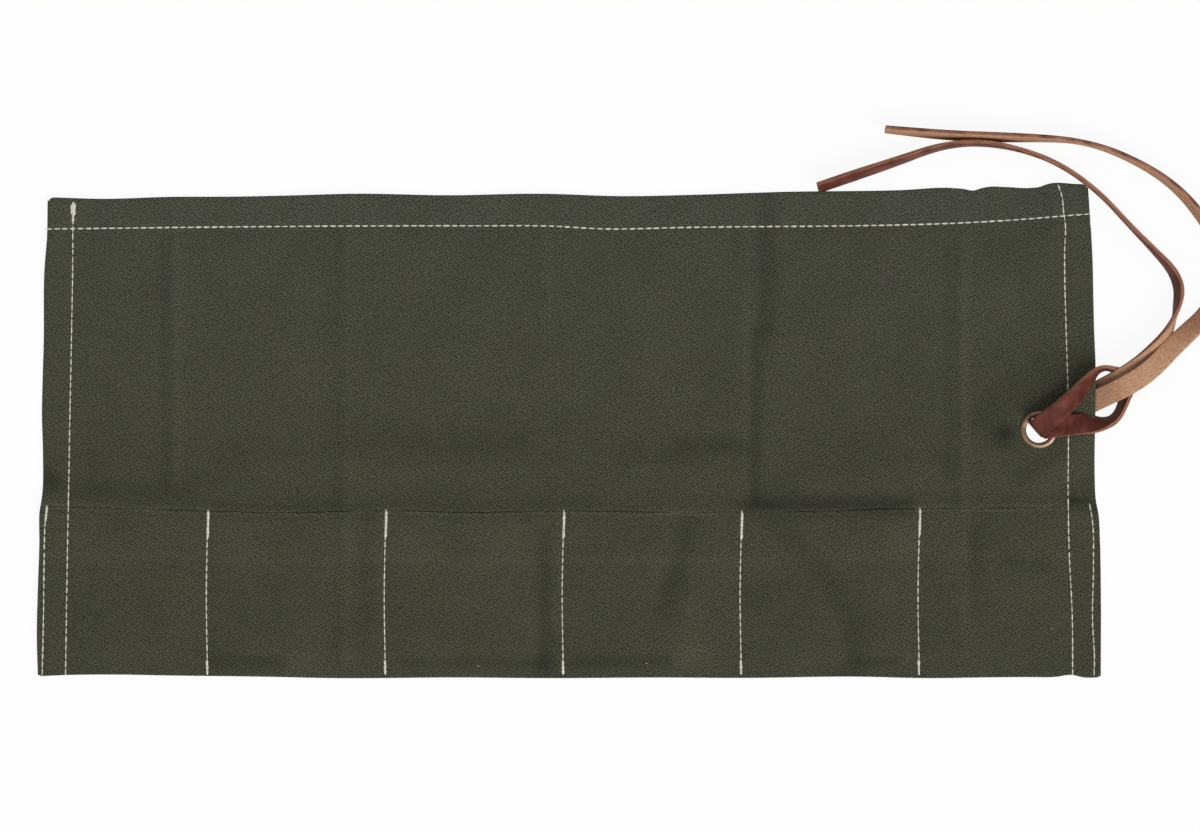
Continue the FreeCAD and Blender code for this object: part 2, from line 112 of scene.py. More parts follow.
# Rows of sewing, as lines across the canvas (y for an x) or up it (x for a y)
TOP_ROW = [(-236, 91.3), (-198, 91.8), (-40, 92.8), (-9, 92.7), (16, 91.4), (50, 92.0), (209, 96.1),
           (222, 97.2), (234, 98.1)]
LEFT_ROW = [(-109, -226.4), (-76, -225.9), (-26, -225.0), (1, -224.6), (77, -223.2), (103, -223.0)]
RIGHT_ROW = [(-109, 226.4), (-85, 226.3), (-49, 224.7), (-22, 224.4), (40, 223.7), (82, 222.9), (93, 223.2),
             (98, 222.5), (107, 221.4), (111, 220.0)]
LEFT_POCKET_ROW = [(-109, -236.9), (-76, -236.2), (-58, -236.0), (-39, -235.4), (-32, -234.7)]
RIGHT_POCKET_ROW = [(-109, 236.0), (-103, 236.2), (-85, 235.4), (-58, 235.8), (-40, 235.3), (-32, 234.0)]
DIVIDER_SWAY = [(-109, 0.0), (-96, -0.3), (-72, -0.6), (-50, -0.2), (-35, 0.2)]


def line_through(points, at):
    """A smooth line through a few (place, value) points, read at other places."""
    places, values = np.array(points, float).T
    slopes = np.gradient(values, places)
    at = np.clip(at, places[0], places[-1])
    i = np.clip(np.searchsorted(places, at) - 1, 0, len(places) - 2)
    span = places[i + 1] - places[i]
    t = (at - places[i]) / span
    rise = values[i + 1] - values[i]
    bend = (slopes[i] * span - rise) * (1 - t) - (slopes[i + 1] * span - rise) * t
    return values[i] + t * rise + t * (1 - t) * bend


def ease(low, high, at):
    """Rises smoothly from 0 at one place to 1 at another."""
    t = np.clip((at - low) / (high - low), 0, 1)
    return t * t * (3 - 2 * t)


def hump(distance, half_width):
    """1 on a line, falling smoothly to 0 beside it."""
    return np.exp(-(distance / half_width) ** 2)


def distance_to(path, x, y):
    """Distance in plan from each place to a line of straight runs."""
    nearest = np.full(np.shape(x), np.inf)
    for (x0, y0), (x1, y1) in zip(path, path[1:]):
        run = max((x1 - x0) ** 2 + (y1 - y0) ** 2, 1e-6)
        share = np.clip(((x - x0) * (x1 - x0) + (y - y0) * (y1 - y0)) / run, 0, 1)
        nearest = np.minimum(nearest, np.hypot(x - x0 - share * (x1 - x0), y - y0 - share * (y1 - y0)))
    return nearest


# Soft waves of cloth that has been rolled, washed and laid out: seeded, so that each run is the same
WAVES = np.random.default_rng(11).uniform((34, 0, 0), (105, math.pi, 2 * math.pi), (16, 3))
WAVE_HEIGHT = 0.055
WAVE_LENGTH = 60


def waves(x, y):
    """Height of all the waves together, the longer ones being higher."""
    total = 0
    for length, heading, phase in WAVES:
        along = x * math.cos(heading) + y * math.sin(heading)
        total = total + WAVE_HEIGHT * (length / WAVE_LENGTH) * np.sin(2 * math.pi * along / length + phase)
    return total


# Creases as (line in plan, height, half width); a negative height is a dent
FACE_CREASES = [
    ([(-176.8, 90), (-177.2, 40), (-176.4, -28)], 0.75, 3.0),
    ([(-99, 108), (-98.4, 30), (-99.5, -30)], 0.40, 2.6),
    ([(-10.4, 92), (-10, 46)], 0.45, 2.8),
    ([(88.4, 108), (88, 46)], -0.95, 4.6),
    ([(82, 46), (80.6, 0), (80.2, -30)], -0.60, 3.2),
    ([(177, 88), (176.4, 45), (177.4, -30)], 0.70, 2.8),
    ([(-150, -14), (-90, -13), (0, -15)], 1.1, 8.0),
    ([(30, -14), (82, -15)], 1.5, 7.0),
    ([(110, -20), (150, -17), (192, -19)], 0.7, 7.0),
    ([(-230, -27), (-160, -26)], 0.8, 5.0),
    ([(-222, 12), (-190, 30), (-182, 58)], 0.35, 9.0),
    ([(100, 62), (128, 20), (134, -8)], 0.40, 10.0),
    ([(150, 70), (196, 52), (222, 58)], -0.40, 9.0),
]
FRONT_CREASES = [
    ([(52, -38), (47, -58), (41, -76)], -1.5, 5.5),
    ([(88, -37), (101, -48), (113, -61), (126, -85), (127, -105)], -1.8, 5.5),
    ([(181.5, -40), (180.5, -56), (181.5, -78)], -1.1, 4.4),
    ([(195, -55), (212, -57)], -0.9, 5.0),
    ([(-92, -36), (-91.6, -60)], -1.1, 4.2),
    ([(-12, -44), (-11.4, -106)], -1.3, 4.0),
    ([(-128, -46), (-112, -70), (-108, -92)], -0.6, 6.0),
    ([(-60, -70), (-44, -92)], -0.5, 7.0),
    ([(-210, -44), (-196, -70), (-190, -96)], -0.6, 7.0),
    ([(142, -42), (139, -70), (146, -98)], 0.5, 6.0),
    ([(54, -76), (52, -96)], 0.9, 8.0),
]
# Creases worn pale, with painted shade and light from creases, mouths and the eyelet's swell: (line in plan,
# half width, share lighter)
WEAR_AND_PAINTED_SHADE = [
    ([(-176, 92), (-176.4, 40), (-175.8, -26)], 1.7, 0.06),
    ([(-182, 84), (-182.6, 30), (-181.6, -24)], 2.6, -0.08),
    ([(-104.6, 92), (-104, 30), (-104.4, -104)], 2.6, -0.045),
    ([(-99.6, 92), (-99.2, 30), (-99.8, -102)], 1.8, 0.05),
    ([(-10.4, 92), (-10, 46)], 2.4, 0.05),
    ([(88.6, 106), (88, 46)], 4.2, -0.13),
    ([(80.2, 90), (79.8, -30)], 1.6, 0.05),
    ([(85, 46), (84, -30)], 2.8, -0.10),
    ([(178, 86), (177.6, 30), (178.4, -100)], 2.0, 0.07),
    ([(171.4, 84), (171, -20)], 2.6, -0.05),
    ([(-94, -2.5), (-22, -2.8)], 5.5, -0.03),
    ([(50, -5.6), (78, -6)], 4.0, -0.11),
    ([(-94, -19), (-28, -19)], 4.0, 0.03),
    ([(-235, -20), (-232, -23)], 4.5, -0.20),
    ([(-222, -28), (-172, -28)], 4.6, -0.08),
    # Painted shadow above the pocket mouths, and painted shade on the tie's swell by the eyelet
    ([(-160, -35), (-124, -35.4), (-88, -35)], 3.4, -0.10),
    ([(-78, -35), (-42, -35.4), (-8, -35.2)], 3.4, -0.09),
    ([(2, -34), (30, -34.6)], 3.0, -0.07),
    ([(82, -33.8), (118, -32.8), (152, -33.4)], 4.4, -0.22),
    ([(226, -31.5), (236, -33)], 2.6, -0.30),
    ([(196, -1)], 5.0, -0.30),
    ([(222, -8), (214, -14), (204, -20)], 4.0, -0.10),
    ([(187, -11)], 8.0, 0.06),
    ([(-160, -53), (-56, -53)], 1.7, 0.05),
    ([(95, -53.5), (176, -52)], 1.8, 0.05),
    ([(-66, -54)], 9.0, 0.07),
    ([(-27, -53)], 11.0, 0.08),
    ([(-12, -46), (-11.4, -106)], 3.4, -0.11),
    ([(-92, -36), (-92, -104)], 3.4, -0.06),
    ([(53, -40), (48, -58), (42, -76)], 5.0, -0.06),
    ([(55, -80), (52, -96)], 8.0, 0.08),
    ([(92, -40), (113, -61), (126, -85), (127, -105)], 5.0, -0.09),
    ([(88, -60)], 8.0, 0.05),
    ([(150, -50)], 9.0, 0.05),
    ([(181, -46), (181, -76)], 4.6, -0.07),
    ([(195, -55), (212, -57)], 4.6, -0.06),
    # Painted shade in the folds along the pockets' bottoms
    ([(-160, -103), (-130, -103.4)], 3.2, -0.14),
    ([(-74, -103.4), (-10, -104)], 3.2, -0.12),
    ([(3, -103.6), (44, -103)], 3.4, -0.17),
    ([(130, -103.6), (148, -103.4)], 3.2, -0.12),
    ([(-158, -43), (-8, -43)], 4.0, 0.035),
    ([(-222, -74), (-172, -74)], 34.0, -0.02),
    ([(100, -74), (220, -74)], 34.0, -0.013),
    ([(110, 14), (190, 14)], 26.0, -0.015),
]
# How far painted light pales the fold at each pocket's mouth and the shadowed cloth just above it
MOUTH_PAINTED_LIGHT = [0.16, 0.24, 0.28, 0.28, 0.18, 0.2]
# How much paler or darker whole parts are: the back above the mouths, the fronts and the hems
LOW_BACK_SHADE = -0.055
FRONT_SHADE = -0.036
MOUTH_HEM_SHADE = 0.04
TOP_HEM_SHADE = 0.03
# Where the tie passes under the canvas, and where the canvas beside it starts to settle and lies flat
TIE_UNDER = [(208, -1), (222, 8), (240, 18)]
SWELL_START = 8
SWELL_END = 31
# How far the eyelet's ring stands above the middle of the cloth round it
RING_ABOVE = 1.2
# How far a row of sewing draws the cloth down, and the puckers beside it
SEWN_PULL = 0.30
PULL_WIDTH = 1.7
PUCKER_PITCH = 8.3
PUCKER_HEIGHT = 0.16
PUCKER_REACH = 6


def wear_and_painted_shade(x, y):
    """How much paler or darker than the rest the cloth is, from wear and from painted shade and light."""
    shade = 0
    for path, half_width, lighter in WEAR_AND_PAINTED_SHADE:
        shade = shade + lighter * hump(distance_to(path + path[-1:], x, y), half_width)
    mouth = line_through(MOUTH_EDGE, x)
    on_back = ease(mouth - 4, mouth, y)
    shade = shade + LOW_BACK_SHADE * on_back * (1 - ease(-22, 30, y)) + FRONT_SHADE * (1 - on_back)
    shade = shade + MOUTH_HEM_SHADE * hump(y - mouth + 15, 11)
    shade = shade + TOP_HEM_SHADE * ease(-2, 1, y - line_through(TOP_ROW, x))
    # Painted light at each mouth, laid over the shadow of the crack under its fold
    pocket = np.searchsorted(SEAMS, x)
    return shade + hump(y - mouth, 0.9) * np.array(MOUTH_PAINTED_LIGHT)[pocket]


def sewn(distance, along):
    """How far a row of sewing pulls the cloth down, with the small puckers beside it."""
    uneven = 1.3 * np.sin(along / 23)
    puckers = PUCKER_HEIGHT * np.sin(2 * math.pi * along / PUCKER_PITCH + uneven)
    return puckers * np.exp(-distance / PUCKER_REACH) - SEWN_PULL * hump(distance, PULL_WIDTH)


def from_eyelet(x, y):
    """Distance in plan from the eyelet's axis."""
    return np.hypot(x - EYELET.x, y - EYELET.y)


def swell(x, y):
    """Height of the canvas over the two strands of tie that pass under it."""
    crest = EYELET_HIGH.z - FACE_LEVEL - RING_ABOVE + 0.5 * ease(10, 22, from_eyelet(x, y))
    return crest * (1 - ease(SWELL_START, SWELL_END, distance_to(TIE_UNDER, x, y)))


def hem_corner(x, y):
    """1 where the side hem is turned over the top hem, else 0."""
    from_side = np.minimum(x - line_through(LEFT_EDGE, y), line_through(RIGHT_EDGE, y) - x)
    from_top = line_through(TOP_EDGE, x) - y
    in_side_hem = 1 - ease(SIDE_HEM + 1.5, SIDE_HEM + 5, from_side)
    in_top_hem = 1 - ease(TOP_HEM + 1, TOP_HEM + 4, from_top)
    return in_side_hem * in_top_hem


def face_height(x, y):
    """Middle of the back cloth, which rises just above the pockets to meet their mouths."""
    mouth = line_through(MOUTH_EDGE, x)
    rise = MOUTH_RISE * ease(mouth - 0.4, mouth + 0.7, y) * (1 - ease(mouth + 0.7, mouth + 9, y))
    return back_height(x, y) + rise * (1 - ease(0.5, 1.5, swell(x, y)))


def back_height(x, y):
    """Middle of the back cloth where it lies by itself."""
    lift = REST_LIFT + waves(x, y)
    for path, height, half_width in FACE_CREASES:
        lift = lift + height * hump(distance_to(path, x, y), half_width)
    above_mouth = ease(-36, -30, y)
    lift = lift + sewn(np.abs(y - line_through(TOP_ROW, x)), x)
    lift = lift + above_mouth * sewn(np.abs(x - line_through(LEFT_ROW, y)), y)
    lift = lift + above_mouth * sewn(np.abs(x - line_through(RIGHT_ROW, y)), y)
    loose = ease(8, 30, from_eyelet(x, y))
    return FACE_LEVEL + loose * np.maximum(lift, 0) + swell(x, y) + LAYER * hem_corner(x, y)


# How far each pocket's mouth stands open, and how far its middle bows up
GAPES = [0.1, 0.25, 0.25, 0.2, 0.25, 0.1]
BOWS = [1.5, 2.0, 2.1, 2.3, 2.5, 2.0]
# The ridge at the mouth hem's inner edge, the droop of the mouth, and the share of the waves in the fronts
HEM_RIDGE = 0.25
MOUTH_DROOP = 0.28
FRONT_WAVES = 0.6


def front_height(x, y):
    """Middle of the pocket cloth, sewn down at the seams and bowed up between them."""
    bottom, mouth = line_through(BOTTOM_EDGE, x), line_through(MOUTH_EDGE, x)
    up = np.clip((y - bottom) / (mouth - bottom), 0, 1)
    starts = [line_through(LEFT_ROW, y)] + SEAMS
    ends = SEAMS + [line_through(RIGHT_ROW, y)]
    lift = 0
    for start, end, gape, bow in zip(starts, ends, GAPES, BOWS):
        across = np.clip(2 * (x - start) / (end - start) - 1, -1, 1)
        arch = 1 - np.abs(across) ** 2.4
        lift = lift + arch * (bow * (ease(0, 0.2, up) - ease(0.7, 1, up)) + gape * ease(0.66, 1, up))
    between = ease(0, 9, np.min([np.abs(x - seam) for seam in SEAMS], axis=0))
    for path, height, half_width in FRONT_CREASES:
        lift = lift + between * height * hump(distance_to(path, x, y), half_width)
    hem_line = mouth - MOUTH_HEM
    lift = lift + 0.8 * LAYER * ease(hem_line - 2, hem_line + 1, y)
    lift = lift + HEM_RIDGE * between * hump(y - hem_line, 2.0)
    lift = lift - MOUTH_DROOP * ease(mouth - 4, mouth, y)
    lift = lift + FRONT_WAVES * between * waves(1.6 * x + 40, 1.6 * y)
    for seam in SEAMS:
        lift = lift + sewn(np.abs(x - seam - line_through(DIVIDER_SWAY, y)), y)
    for row in (LEFT_ROW, RIGHT_ROW, LEFT_POCKET_ROW, RIGHT_POCKET_ROW):
        lift = lift + 0.8 * sewn(np.abs(x - line_through(row, y)), y)
    return back_height(x, y) + LAYER + np.maximum(lift, -0.2)


def cloth_lines():
    """X of the cloth grid's lines, with a line on each seam and halfway between seams."""
    stops = sorted([LEFT, RIGHT] + SEAMS + HALVES)
    lines = [LEFT]
    for a, b in zip(stops, stops[1:]):
        lines.extend(np.linspace(a, b, round((b - a) / CELL) + 1)[1:])
    return np.array(lines)


def fitted(lines, y, room=0.0):
    """The grid's lines at height y on the canvas, the end columns drawn in to its sides less some room."""
    left_end, right_end = line_through(LEFT_EDGE, y) + room, line_through(RIGHT_EDGE, y) - room
    left = SEAMS[0] + (lines - SEAMS[0]) * (left_end - SEAMS[0]) / (LEFT - SEAMS[0])
    right = SEAMS[-1] + (lines - SEAMS[-1]) * (right_end - SEAMS[-1]) / (RIGHT - SEAMS[-1])
    return np.where(lines < SEAMS[0], left, np.where(lines > SEAMS[-1], right, lines))


def rounded_ends(lines, y):
    """How far an edge drops back near the two ends of the canvas, as a rounded corner does."""
    x = fitted(lines, y)
    near = np.minimum(x - x[0], x[-1] - x)
    short = np.clip(CORNER - near, 0, CORNER)
    return CORNER - np.sqrt(CORNER ** 2 - short ** 2 * CORNER_TURN)


def layers_below(y, top):
    """Layers of hem under the two sides: two where the side hem is turned over the top hem, else one."""
    return 1 + ease(-1, 1, y - top + TOP_HEM)


def cloth_rows(lines):
    """The whole cloth as rows of places: hem, top fold, back, bottom fold, pocket front, mouth fold, hem."""
    rows, kinds = [], []

    def place(kind, y, height, room):
        x = fitted(lines, y, room)
        rows.append(np.stack([x, y, height(x, y)], 1))
        kinds.append(kind)

    def run(kind, start, end, height, drop=0.0):
        count = round(abs(np.mean(end - start)) / CELL) + 1
        for share in np.linspace(0, 1, count):
            y = start + (end - start) * share
            room = 0 if kind == "front" else FOLD * layers_below(y, top) + CLOTH / 2
            place(kind, y, lambda x, y: height(x, y) - drop, room)

    def fold(kind, edge, side, level, turns):
        for turn in turns:
            y = edge - side * FOLD + side * FOLD * math.cos(turn)
            room = LAYER + CLOTH / 2 if kind == "hem" else 0
            place(kind, y, lambda x, y: level + FOLD * math.sin(turn), room)

    top = line_through(TOP_EDGE, lines)
    top = top - rounded_ends(lines, top)
    bottom = line_through(BOTTOM_EDGE, lines)
    bottom = bottom + rounded_ends(lines, bottom)
    mouth = line_through(MOUTH_EDGE, lines)
    run("hem", top - TOP_HEM, top - FOLD, face_height, LAYER)
    fold("hem", top, 1, face_height(fitted(lines, top), top) - FOLD, FOLD_TURNS)
    run("face", top - FOLD, bottom + FOLD, face_height)
    fold("front", bottom, -1, face_height(fitted(lines, bottom), bottom) + FOLD, FOLD_TURNS)
    run("front", bottom + FOLD, mouth - FOLD, front_height)
    fold("front", mouth, 1, front_height(fitted(lines, mouth), mouth) - FOLD, FOLD_TURNS[::-1])
    run("front", mouth - FOLD, mouth - MOUTH_HEM, front_height, LAYER)
    return np.array(rows), np.array(kinds)


def side_hem(edge, inward):
    """Lines of cloth that turn under the back from one side, from the fold inwards."""
    drop = LAYER * layers_below(edge[:, 1], line_through(TOP_EDGE, edge[:, 0]))
    lines = []
    for turn in FOLD_TURNS[::-1]:
        out, down = drop / 2 * math.cos(turn), drop / 2 * (1 - math.sin(turn))
        lines.append(edge - np.stack([inward * out, 0 * out, down], 1))
    for reach in np.linspace(0, SIDE_HEM, round(SIDE_HEM / CELL) + 1):
        x, y = edge[:, 0] + inward * reach, edge[:, 1]
        lines.append(np.stack([x, y, face_height(x, y) - drop], 1))
    return np.stack(lines, 1)


def lengths_along(places):
    """Length of a line of places, from its start to each of them."""
    return np.concatenate([[0], np.cumsum(np.linalg.norm(np.diff(places, axis=0), axis=1))])


def cloth_grid():
    """The cloth's grid of places, its flat pattern, the cells it has, its cuts and its rows' kinds."""
    lines = cloth_lines()
    body, kinds = cloth_rows(lines)
    left = side_hem(body[:, 0], 1)[:, ::-1]
    right = side_hem(body[:, -1], -1)
    places = np.concatenate([left, body, right], 1)
    count = left.shape[1]
    outward = lengths_along(right[len(right) // 2]) + CELL
    flat_x = np.concatenate([LEFT - outward[::-1], lines, RIGHT + outward])
    flat_y = lengths_along(body[:, body.shape[1] // 2])
    flat = np.stack(np.meshgrid(flat_x, flat_y), -1)
    keep = np.ones((len(places) - 1, places.shape[1] - 1), bool)
    has_side_hem = (kinds[:-1] == "face") & (kinds[1:] == "face")
    keep[~has_side_hem, :count] = False
    keep[~has_side_hem, -count:] = False
    open_hole(places, keep, kinds)
    cuts = [count + int(np.argmin(np.abs(lines - half))) for half in HALVES]
    return places, flat, keep, [0] + cuts + [places.shape[1] - 1], kinds


def open_hole(places, keep, kinds):
    """Cuts the eyelet's hole in the back cloth and draws its edge to a circle."""
    offset = places[..., :2] - np.array(EYELET.xy)
    far = np.linalg.norm(offset, axis=-1)
    on_back = (kinds == "face")[:, None]
    inside = on_back & (far < HOLE_RADIUS)
    corners = inside[:-1, :-1].astype(int) + inside[1:, :-1] + inside[:-1, 1:] + inside[1:, 1:]
    keep[corners > 2] = False
    pushed = np.array(EYELET.xy) + offset * (HOLE_RADIUS / np.maximum(far, 0.01))[..., None]
    places[..., :2] = np.where(inside[..., None], pushed, places[..., :2])


# Edges that turn by more than this stay crisp
SHARP = math.radians(58)


def make_object(name, places, faces, material, smooth=None, uv=None):
    """A mesh object at the origin from places in millimetres."""
    mesh = bpy.data.meshes.new(name)
    mesh.from_pydata((np.asarray(places) * MM).tolist(), [], [list(map(int, face)) for face in faces])
    flags = np.ones(len(faces), bool) if smooth is None else np.asarray(smooth)
    mesh.polygons.foreach_set("use_smooth", flags)
    if uv is not None:
        corners = np.zeros(len(mesh.loops), np.int32)
        mesh.loops.foreach_get("vertex_index", corners)
        layer = mesh.uv_layers.new(name="flat")
        layer.data.foreach_set("uv", (np.asarray(uv)[corners] * MM).astype(np.float32).ravel())
    mesh.materials.append(material)
    mesh.set_sharp_from_angle(angle=SHARP)
    thing = bpy.data.objects.new(name, mesh)
    bpy.context.scene.collection.objects.link(thing)
    return thing


def cloth_piece(name, grid, first, last, material):
    """One stretch of the cloth, with its thickness and all its edges closed."""
    places, flat, keep, _, kinds = grid
    normal = np.cross(np.gradient(places, axis=0), np.gradient(places, axis=1))
    normal /= np.maximum(np.linalg.norm(normal, axis=-1, keepdims=True), 1e-9)
    total = places.shape[0] * places.shape[1]
    index = np.arange(total).reshape(places.shape[:2])
    cells = np.stack([index[:-1, :-1], index[1:, :-1], index[1:, 1:], index[:-1, 1:]], -1)
    cells = cells[:, first:last][keep[:, first:last]]
    sides = np.concatenate([cells[:, [i, (i + 1) % 4]] for i in range(4)])
    _, where, times = np.unique(np.sort(sides, 1), axis=0, return_index=True, return_counts=True)
    rim = sides[where[times == 1]]
    rims = np.stack([rim[:, 1], rim[:, 0], rim[:, 0] + total, rim[:, 1] + total], 1)
    faces = np.concatenate([cells, cells[:, ::-1] + total, rims])
    used, faces = np.unique(faces, return_inverse=True)
    half = normal * CLOTH / 2
    both = np.concatenate([(places + half).reshape(-1, 3), (places - half).reshape(-1, 3)])
    pattern = np.concatenate([flat.reshape(-1, 2)] * 2)
    smooth = np.arange(2 * len(cells) + len(rims)) < 2 * len(cells)
    sheet = make_object(name, both[used], faces.reshape(-1, 4), material, smooth, pattern[used])
    on_outside = np.repeat(kinds == "face", places.shape[1])
    plain_side = np.concatenate([np.zeros(total, bool), on_outside])
    # Painted shade and light, with wear, on every side but the outside of the back cloth
    attribute = sheet.data.attributes.new("wear_and_painted_shade", "FLOAT", "POINT")
    shade = np.where(plain_side[used], 0, wear_and_painted_shade(*both[used, :2].T))
    attribute.data.foreach_set("value", shade.astype(np.float32))
    return sheet


def linear(hex_code):
    """An sRGB hex colour as linear values."""
    shares = [int(hex_code[i:i + 2], 16) / 255 for i in (1, 3, 5)]
    return [s / 12.92 if s <= 0.04045 else ((s + 0.055) / 1.055) ** 2.4 for s in shares] + [1.0]


def add_node(tree, kind, inputs=None, stops=(), **settings):
    """Adds a node, gives it its settings and colour stops, and sets or links its inputs."""
    node = tree.nodes.new(kind)
    for name, setting in settings.items():
        setattr(node, name, setting)
    for k, (position, colour) in enumerate(stops):
        stop = node.color_ramp.elements[k] if k < 2 else node.color_ramp.elements.new(position)
        stop.position = position
        stop.color = linear(colour)
    for name, given in (inputs or {}).items():
        if isinstance(given, bpy.types.NodeSocket):
            tree.links.new(given, node.inputs[name])
        else:
            node.inputs[name].default_value = given
    return node


def new_material(name, finish):
    """A material, its node tree and its one shader, which has the finish given."""
    material = bpy.data.materials.new(name)
    material.use_nodes = True
    tree = material.node_tree
    tree.nodes.clear()
    shader = add_node(tree, "ShaderNodeBsdfPrincipled", finish)
    add_node(tree, "ShaderNodeOutputMaterial", {"Surface": shader.outputs[0]})
    return material, tree, shader


def per_metre(size_mm):
    """How many of a thing of this size lie in a metre."""
    return 1 / (size_mm * MM)


# A wave texture at scale 1 repeats every tenth of pi
WAVE_REPEAT = math.pi / 10


def canvas_twill():
    """Olive cotton twill: dull, speckled where ribs cross, mottled, worn pale on creases, with painted shade
    and light.
    """
    material, tree, shader = new_material("olive cotton twill canvas", {
        "Roughness": 0.92, "Specular IOR Level": 0.25, "Sheen Weight": 0.12, "Sheen Roughness": 0.6})
    flat = add_node(tree, "ShaderNodeUVMap", uv_map="flat").outputs[0]
    # Rib spacing as the eye finds it, about twice the yarn's, so that it shows
    rib = 1.25
    crossing = []
    for slant in (48, -60):
        turned = add_node(tree, "ShaderNodeMapping", {
            "Vector": flat, "Rotation": (0, 0, math.radians(slant))})
        ribs = add_node(tree, "ShaderNodeTexWave", {
            "Vector": turned.outputs[0], "Scale": WAVE_REPEAT * per_metre(rib), "Distortion": 4.0,
            "Detail": 2.0, "Detail Scale": 2.4, "Detail Roughness": 0.6})
        crossing.append(ribs.outputs["Fac"])
    patches = add_node(tree, "ShaderNodeTexNoise", {"Vector": flat, "Scale": per_metre(4), "Detail": 3.0})
    which = add_node(tree, "ShaderNodeMapRange", {"Value": patches.outputs["Fac"], 1: 0.4, 2: 0.6})
    woven = add_node(tree, "ShaderNodeMix", {0: which.outputs[0], 2: crossing[0], 3: crossing[1]})
    # Fuzz of loose cotton ends, drawn coarser than they are so that it shows
    fuzz = add_node(tree, "ShaderNodeTexNoise", {
        "Vector": flat, "Scale": per_metre(0.8), "Detail": 1.0, "Roughness": 0.6})
    rough_woven = add_node(tree, "ShaderNodeMix", {0: 0.75, 2: woven.outputs[0], 3: fuzz.outputs["Fac"]})
    tone = add_node(tree, "ShaderNodeValToRGB", {"Fac": rough_woven.outputs[0]},
                    stops=((0.28, "#171913"), (0.74, "#5b5d50")))
    mottle = add_node(tree, "ShaderNodeTexNoise", {
        "Vector": flat, "Scale": per_metre(28), "Detail": 6.0, "Roughness": 0.7})
    worn = add_node(tree, "ShaderNodeMapRange", {
        "Value": mottle.outputs["Fac"], 1: 0.3, 2: 0.7, 3: 0.87, 4: 1.13})
    # Wear, painted shade in hollows and over the pocket mouths, and painted light on the mouth folds, from
    # the cloth's attribute
    shade_and_wear = add_node(tree, "ShaderNodeAttribute", attribute_name="wear_and_painted_shade").outputs["Fac"]
    paler = add_node(tree, "ShaderNodeMath", {0: shade_and_wear, 1: 1.9, 2: 1.0}, operation="MULTIPLY_ADD")
    shading = add_node(tree, "ShaderNodeMath", {0: worn.outputs[0], 1: paler.outputs[0]},
                       operation="MULTIPLY")
    shade = add_node(tree, "ShaderNodeMix", {0: 1.0, 6: tone.outputs[0], 7: shading.outputs[0]},
                     data_type="RGBA", blend_type="MULTIPLY")
    stains = add_node(tree, "ShaderNodeTexNoise", {"Vector": flat, "Scale": per_metre(17), "Detail": 3.0})
    hue = add_node(tree, "ShaderNodeValToRGB", {"Fac": stains.outputs["Fac"]},
                   stops=((0.35, "#fffff2"), (0.65, "#fffdff")))
    dyed = add_node(tree, "ShaderNodeMix", {0: 1.0, 6: shade.outputs[2], 7: hue.outputs[0]},
                    data_type="RGBA", blend_type="MULTIPLY")
    # Stops down the first 200 mm of cloth: the top hem is bluest, and below it the cloth grows yellower
    down = add_node(tree, "ShaderNodeSeparateXYZ", {0: flat})
    lower = add_node(tree, "ShaderNodeMapRange", {"Value": down.outputs[1], 1: 0.0, 2: 200 * MM})
    faded = add_node(tree, "ShaderNodeValToRGB", {"Fac": lower.outputs[0]},
                     stops=((0.155, "#ffffff"), (0.65, "#fcfae9"), (0.175, "#fcfaf4"), (0.3, "#fcfaf4")))
    aged = add_node(tree, "ShaderNodeMix", {0: 1.0, 6: dyed.outputs[2], 7: faded.outputs[0]},
                    data_type="RGBA", blend_type="MULTIPLY")
    specks = add_node(tree, "ShaderNodeTexVoronoi", {"Vector": flat, "Scale": per_metre(26)})
    lint = add_node(tree, "ShaderNodeMath", {0: specks.outputs["Distance"], 1: 0.016}, operation="LESS_THAN")
    faint = add_node(tree, "ShaderNodeMath", {0: lint.outputs[0], 1: 0.5}, operation="MULTIPLY")
    linted = add_node(tree, "ShaderNodeMix", {0: faint.outputs[0], 6: aged.outputs[2], 7: linear("#a9a798")},
                      data_type="RGBA")
    tree.links.new(linted.outputs[2], shader.inputs["Base Color"])
    bump = add_node(tree, "ShaderNodeBump", {
        "Height": rough_woven.outputs[0], "Strength": 0.5, "Distance": 0.3 * MM})
    tree.links.new(bump.outputs[0], shader.inputs["Normal"])
    return material


def sewing_thread():
    """Undyed cotton sewing thread: matt off-white, a little greyed in patches."""
    material, tree, shader = new_material("undyed cotton sewing thread", {"Roughness": 0.85})
    place = add_node(tree, "ShaderNodeTexCoord").outputs["Object"]
    # Twist of the thread, drawn coarser than it is so that it shows
    fibre = add_node(tree, "ShaderNodeTexNoise", {"Vector": place, "Scale": per_metre(0.9), "Detail": 3.0})
    tone = add_node(tree, "ShaderNodeValToRGB", {"Fac": fibre.outputs["Fac"]},
                    stops=((0.3, "#b9b6a6"), (0.7, "#ece9de")))
    tree.links.new(tone.outputs[0], shader.inputs["Base Color"])
    bump = add_node(tree, "ShaderNodeBump", {
        "Height": fibre.outputs["Fac"], "Strength": 0.4, "Distance": 0.2 * MM})
    tree.links.new(bump.outputs[0], shader.inputs["Normal"])
    return material


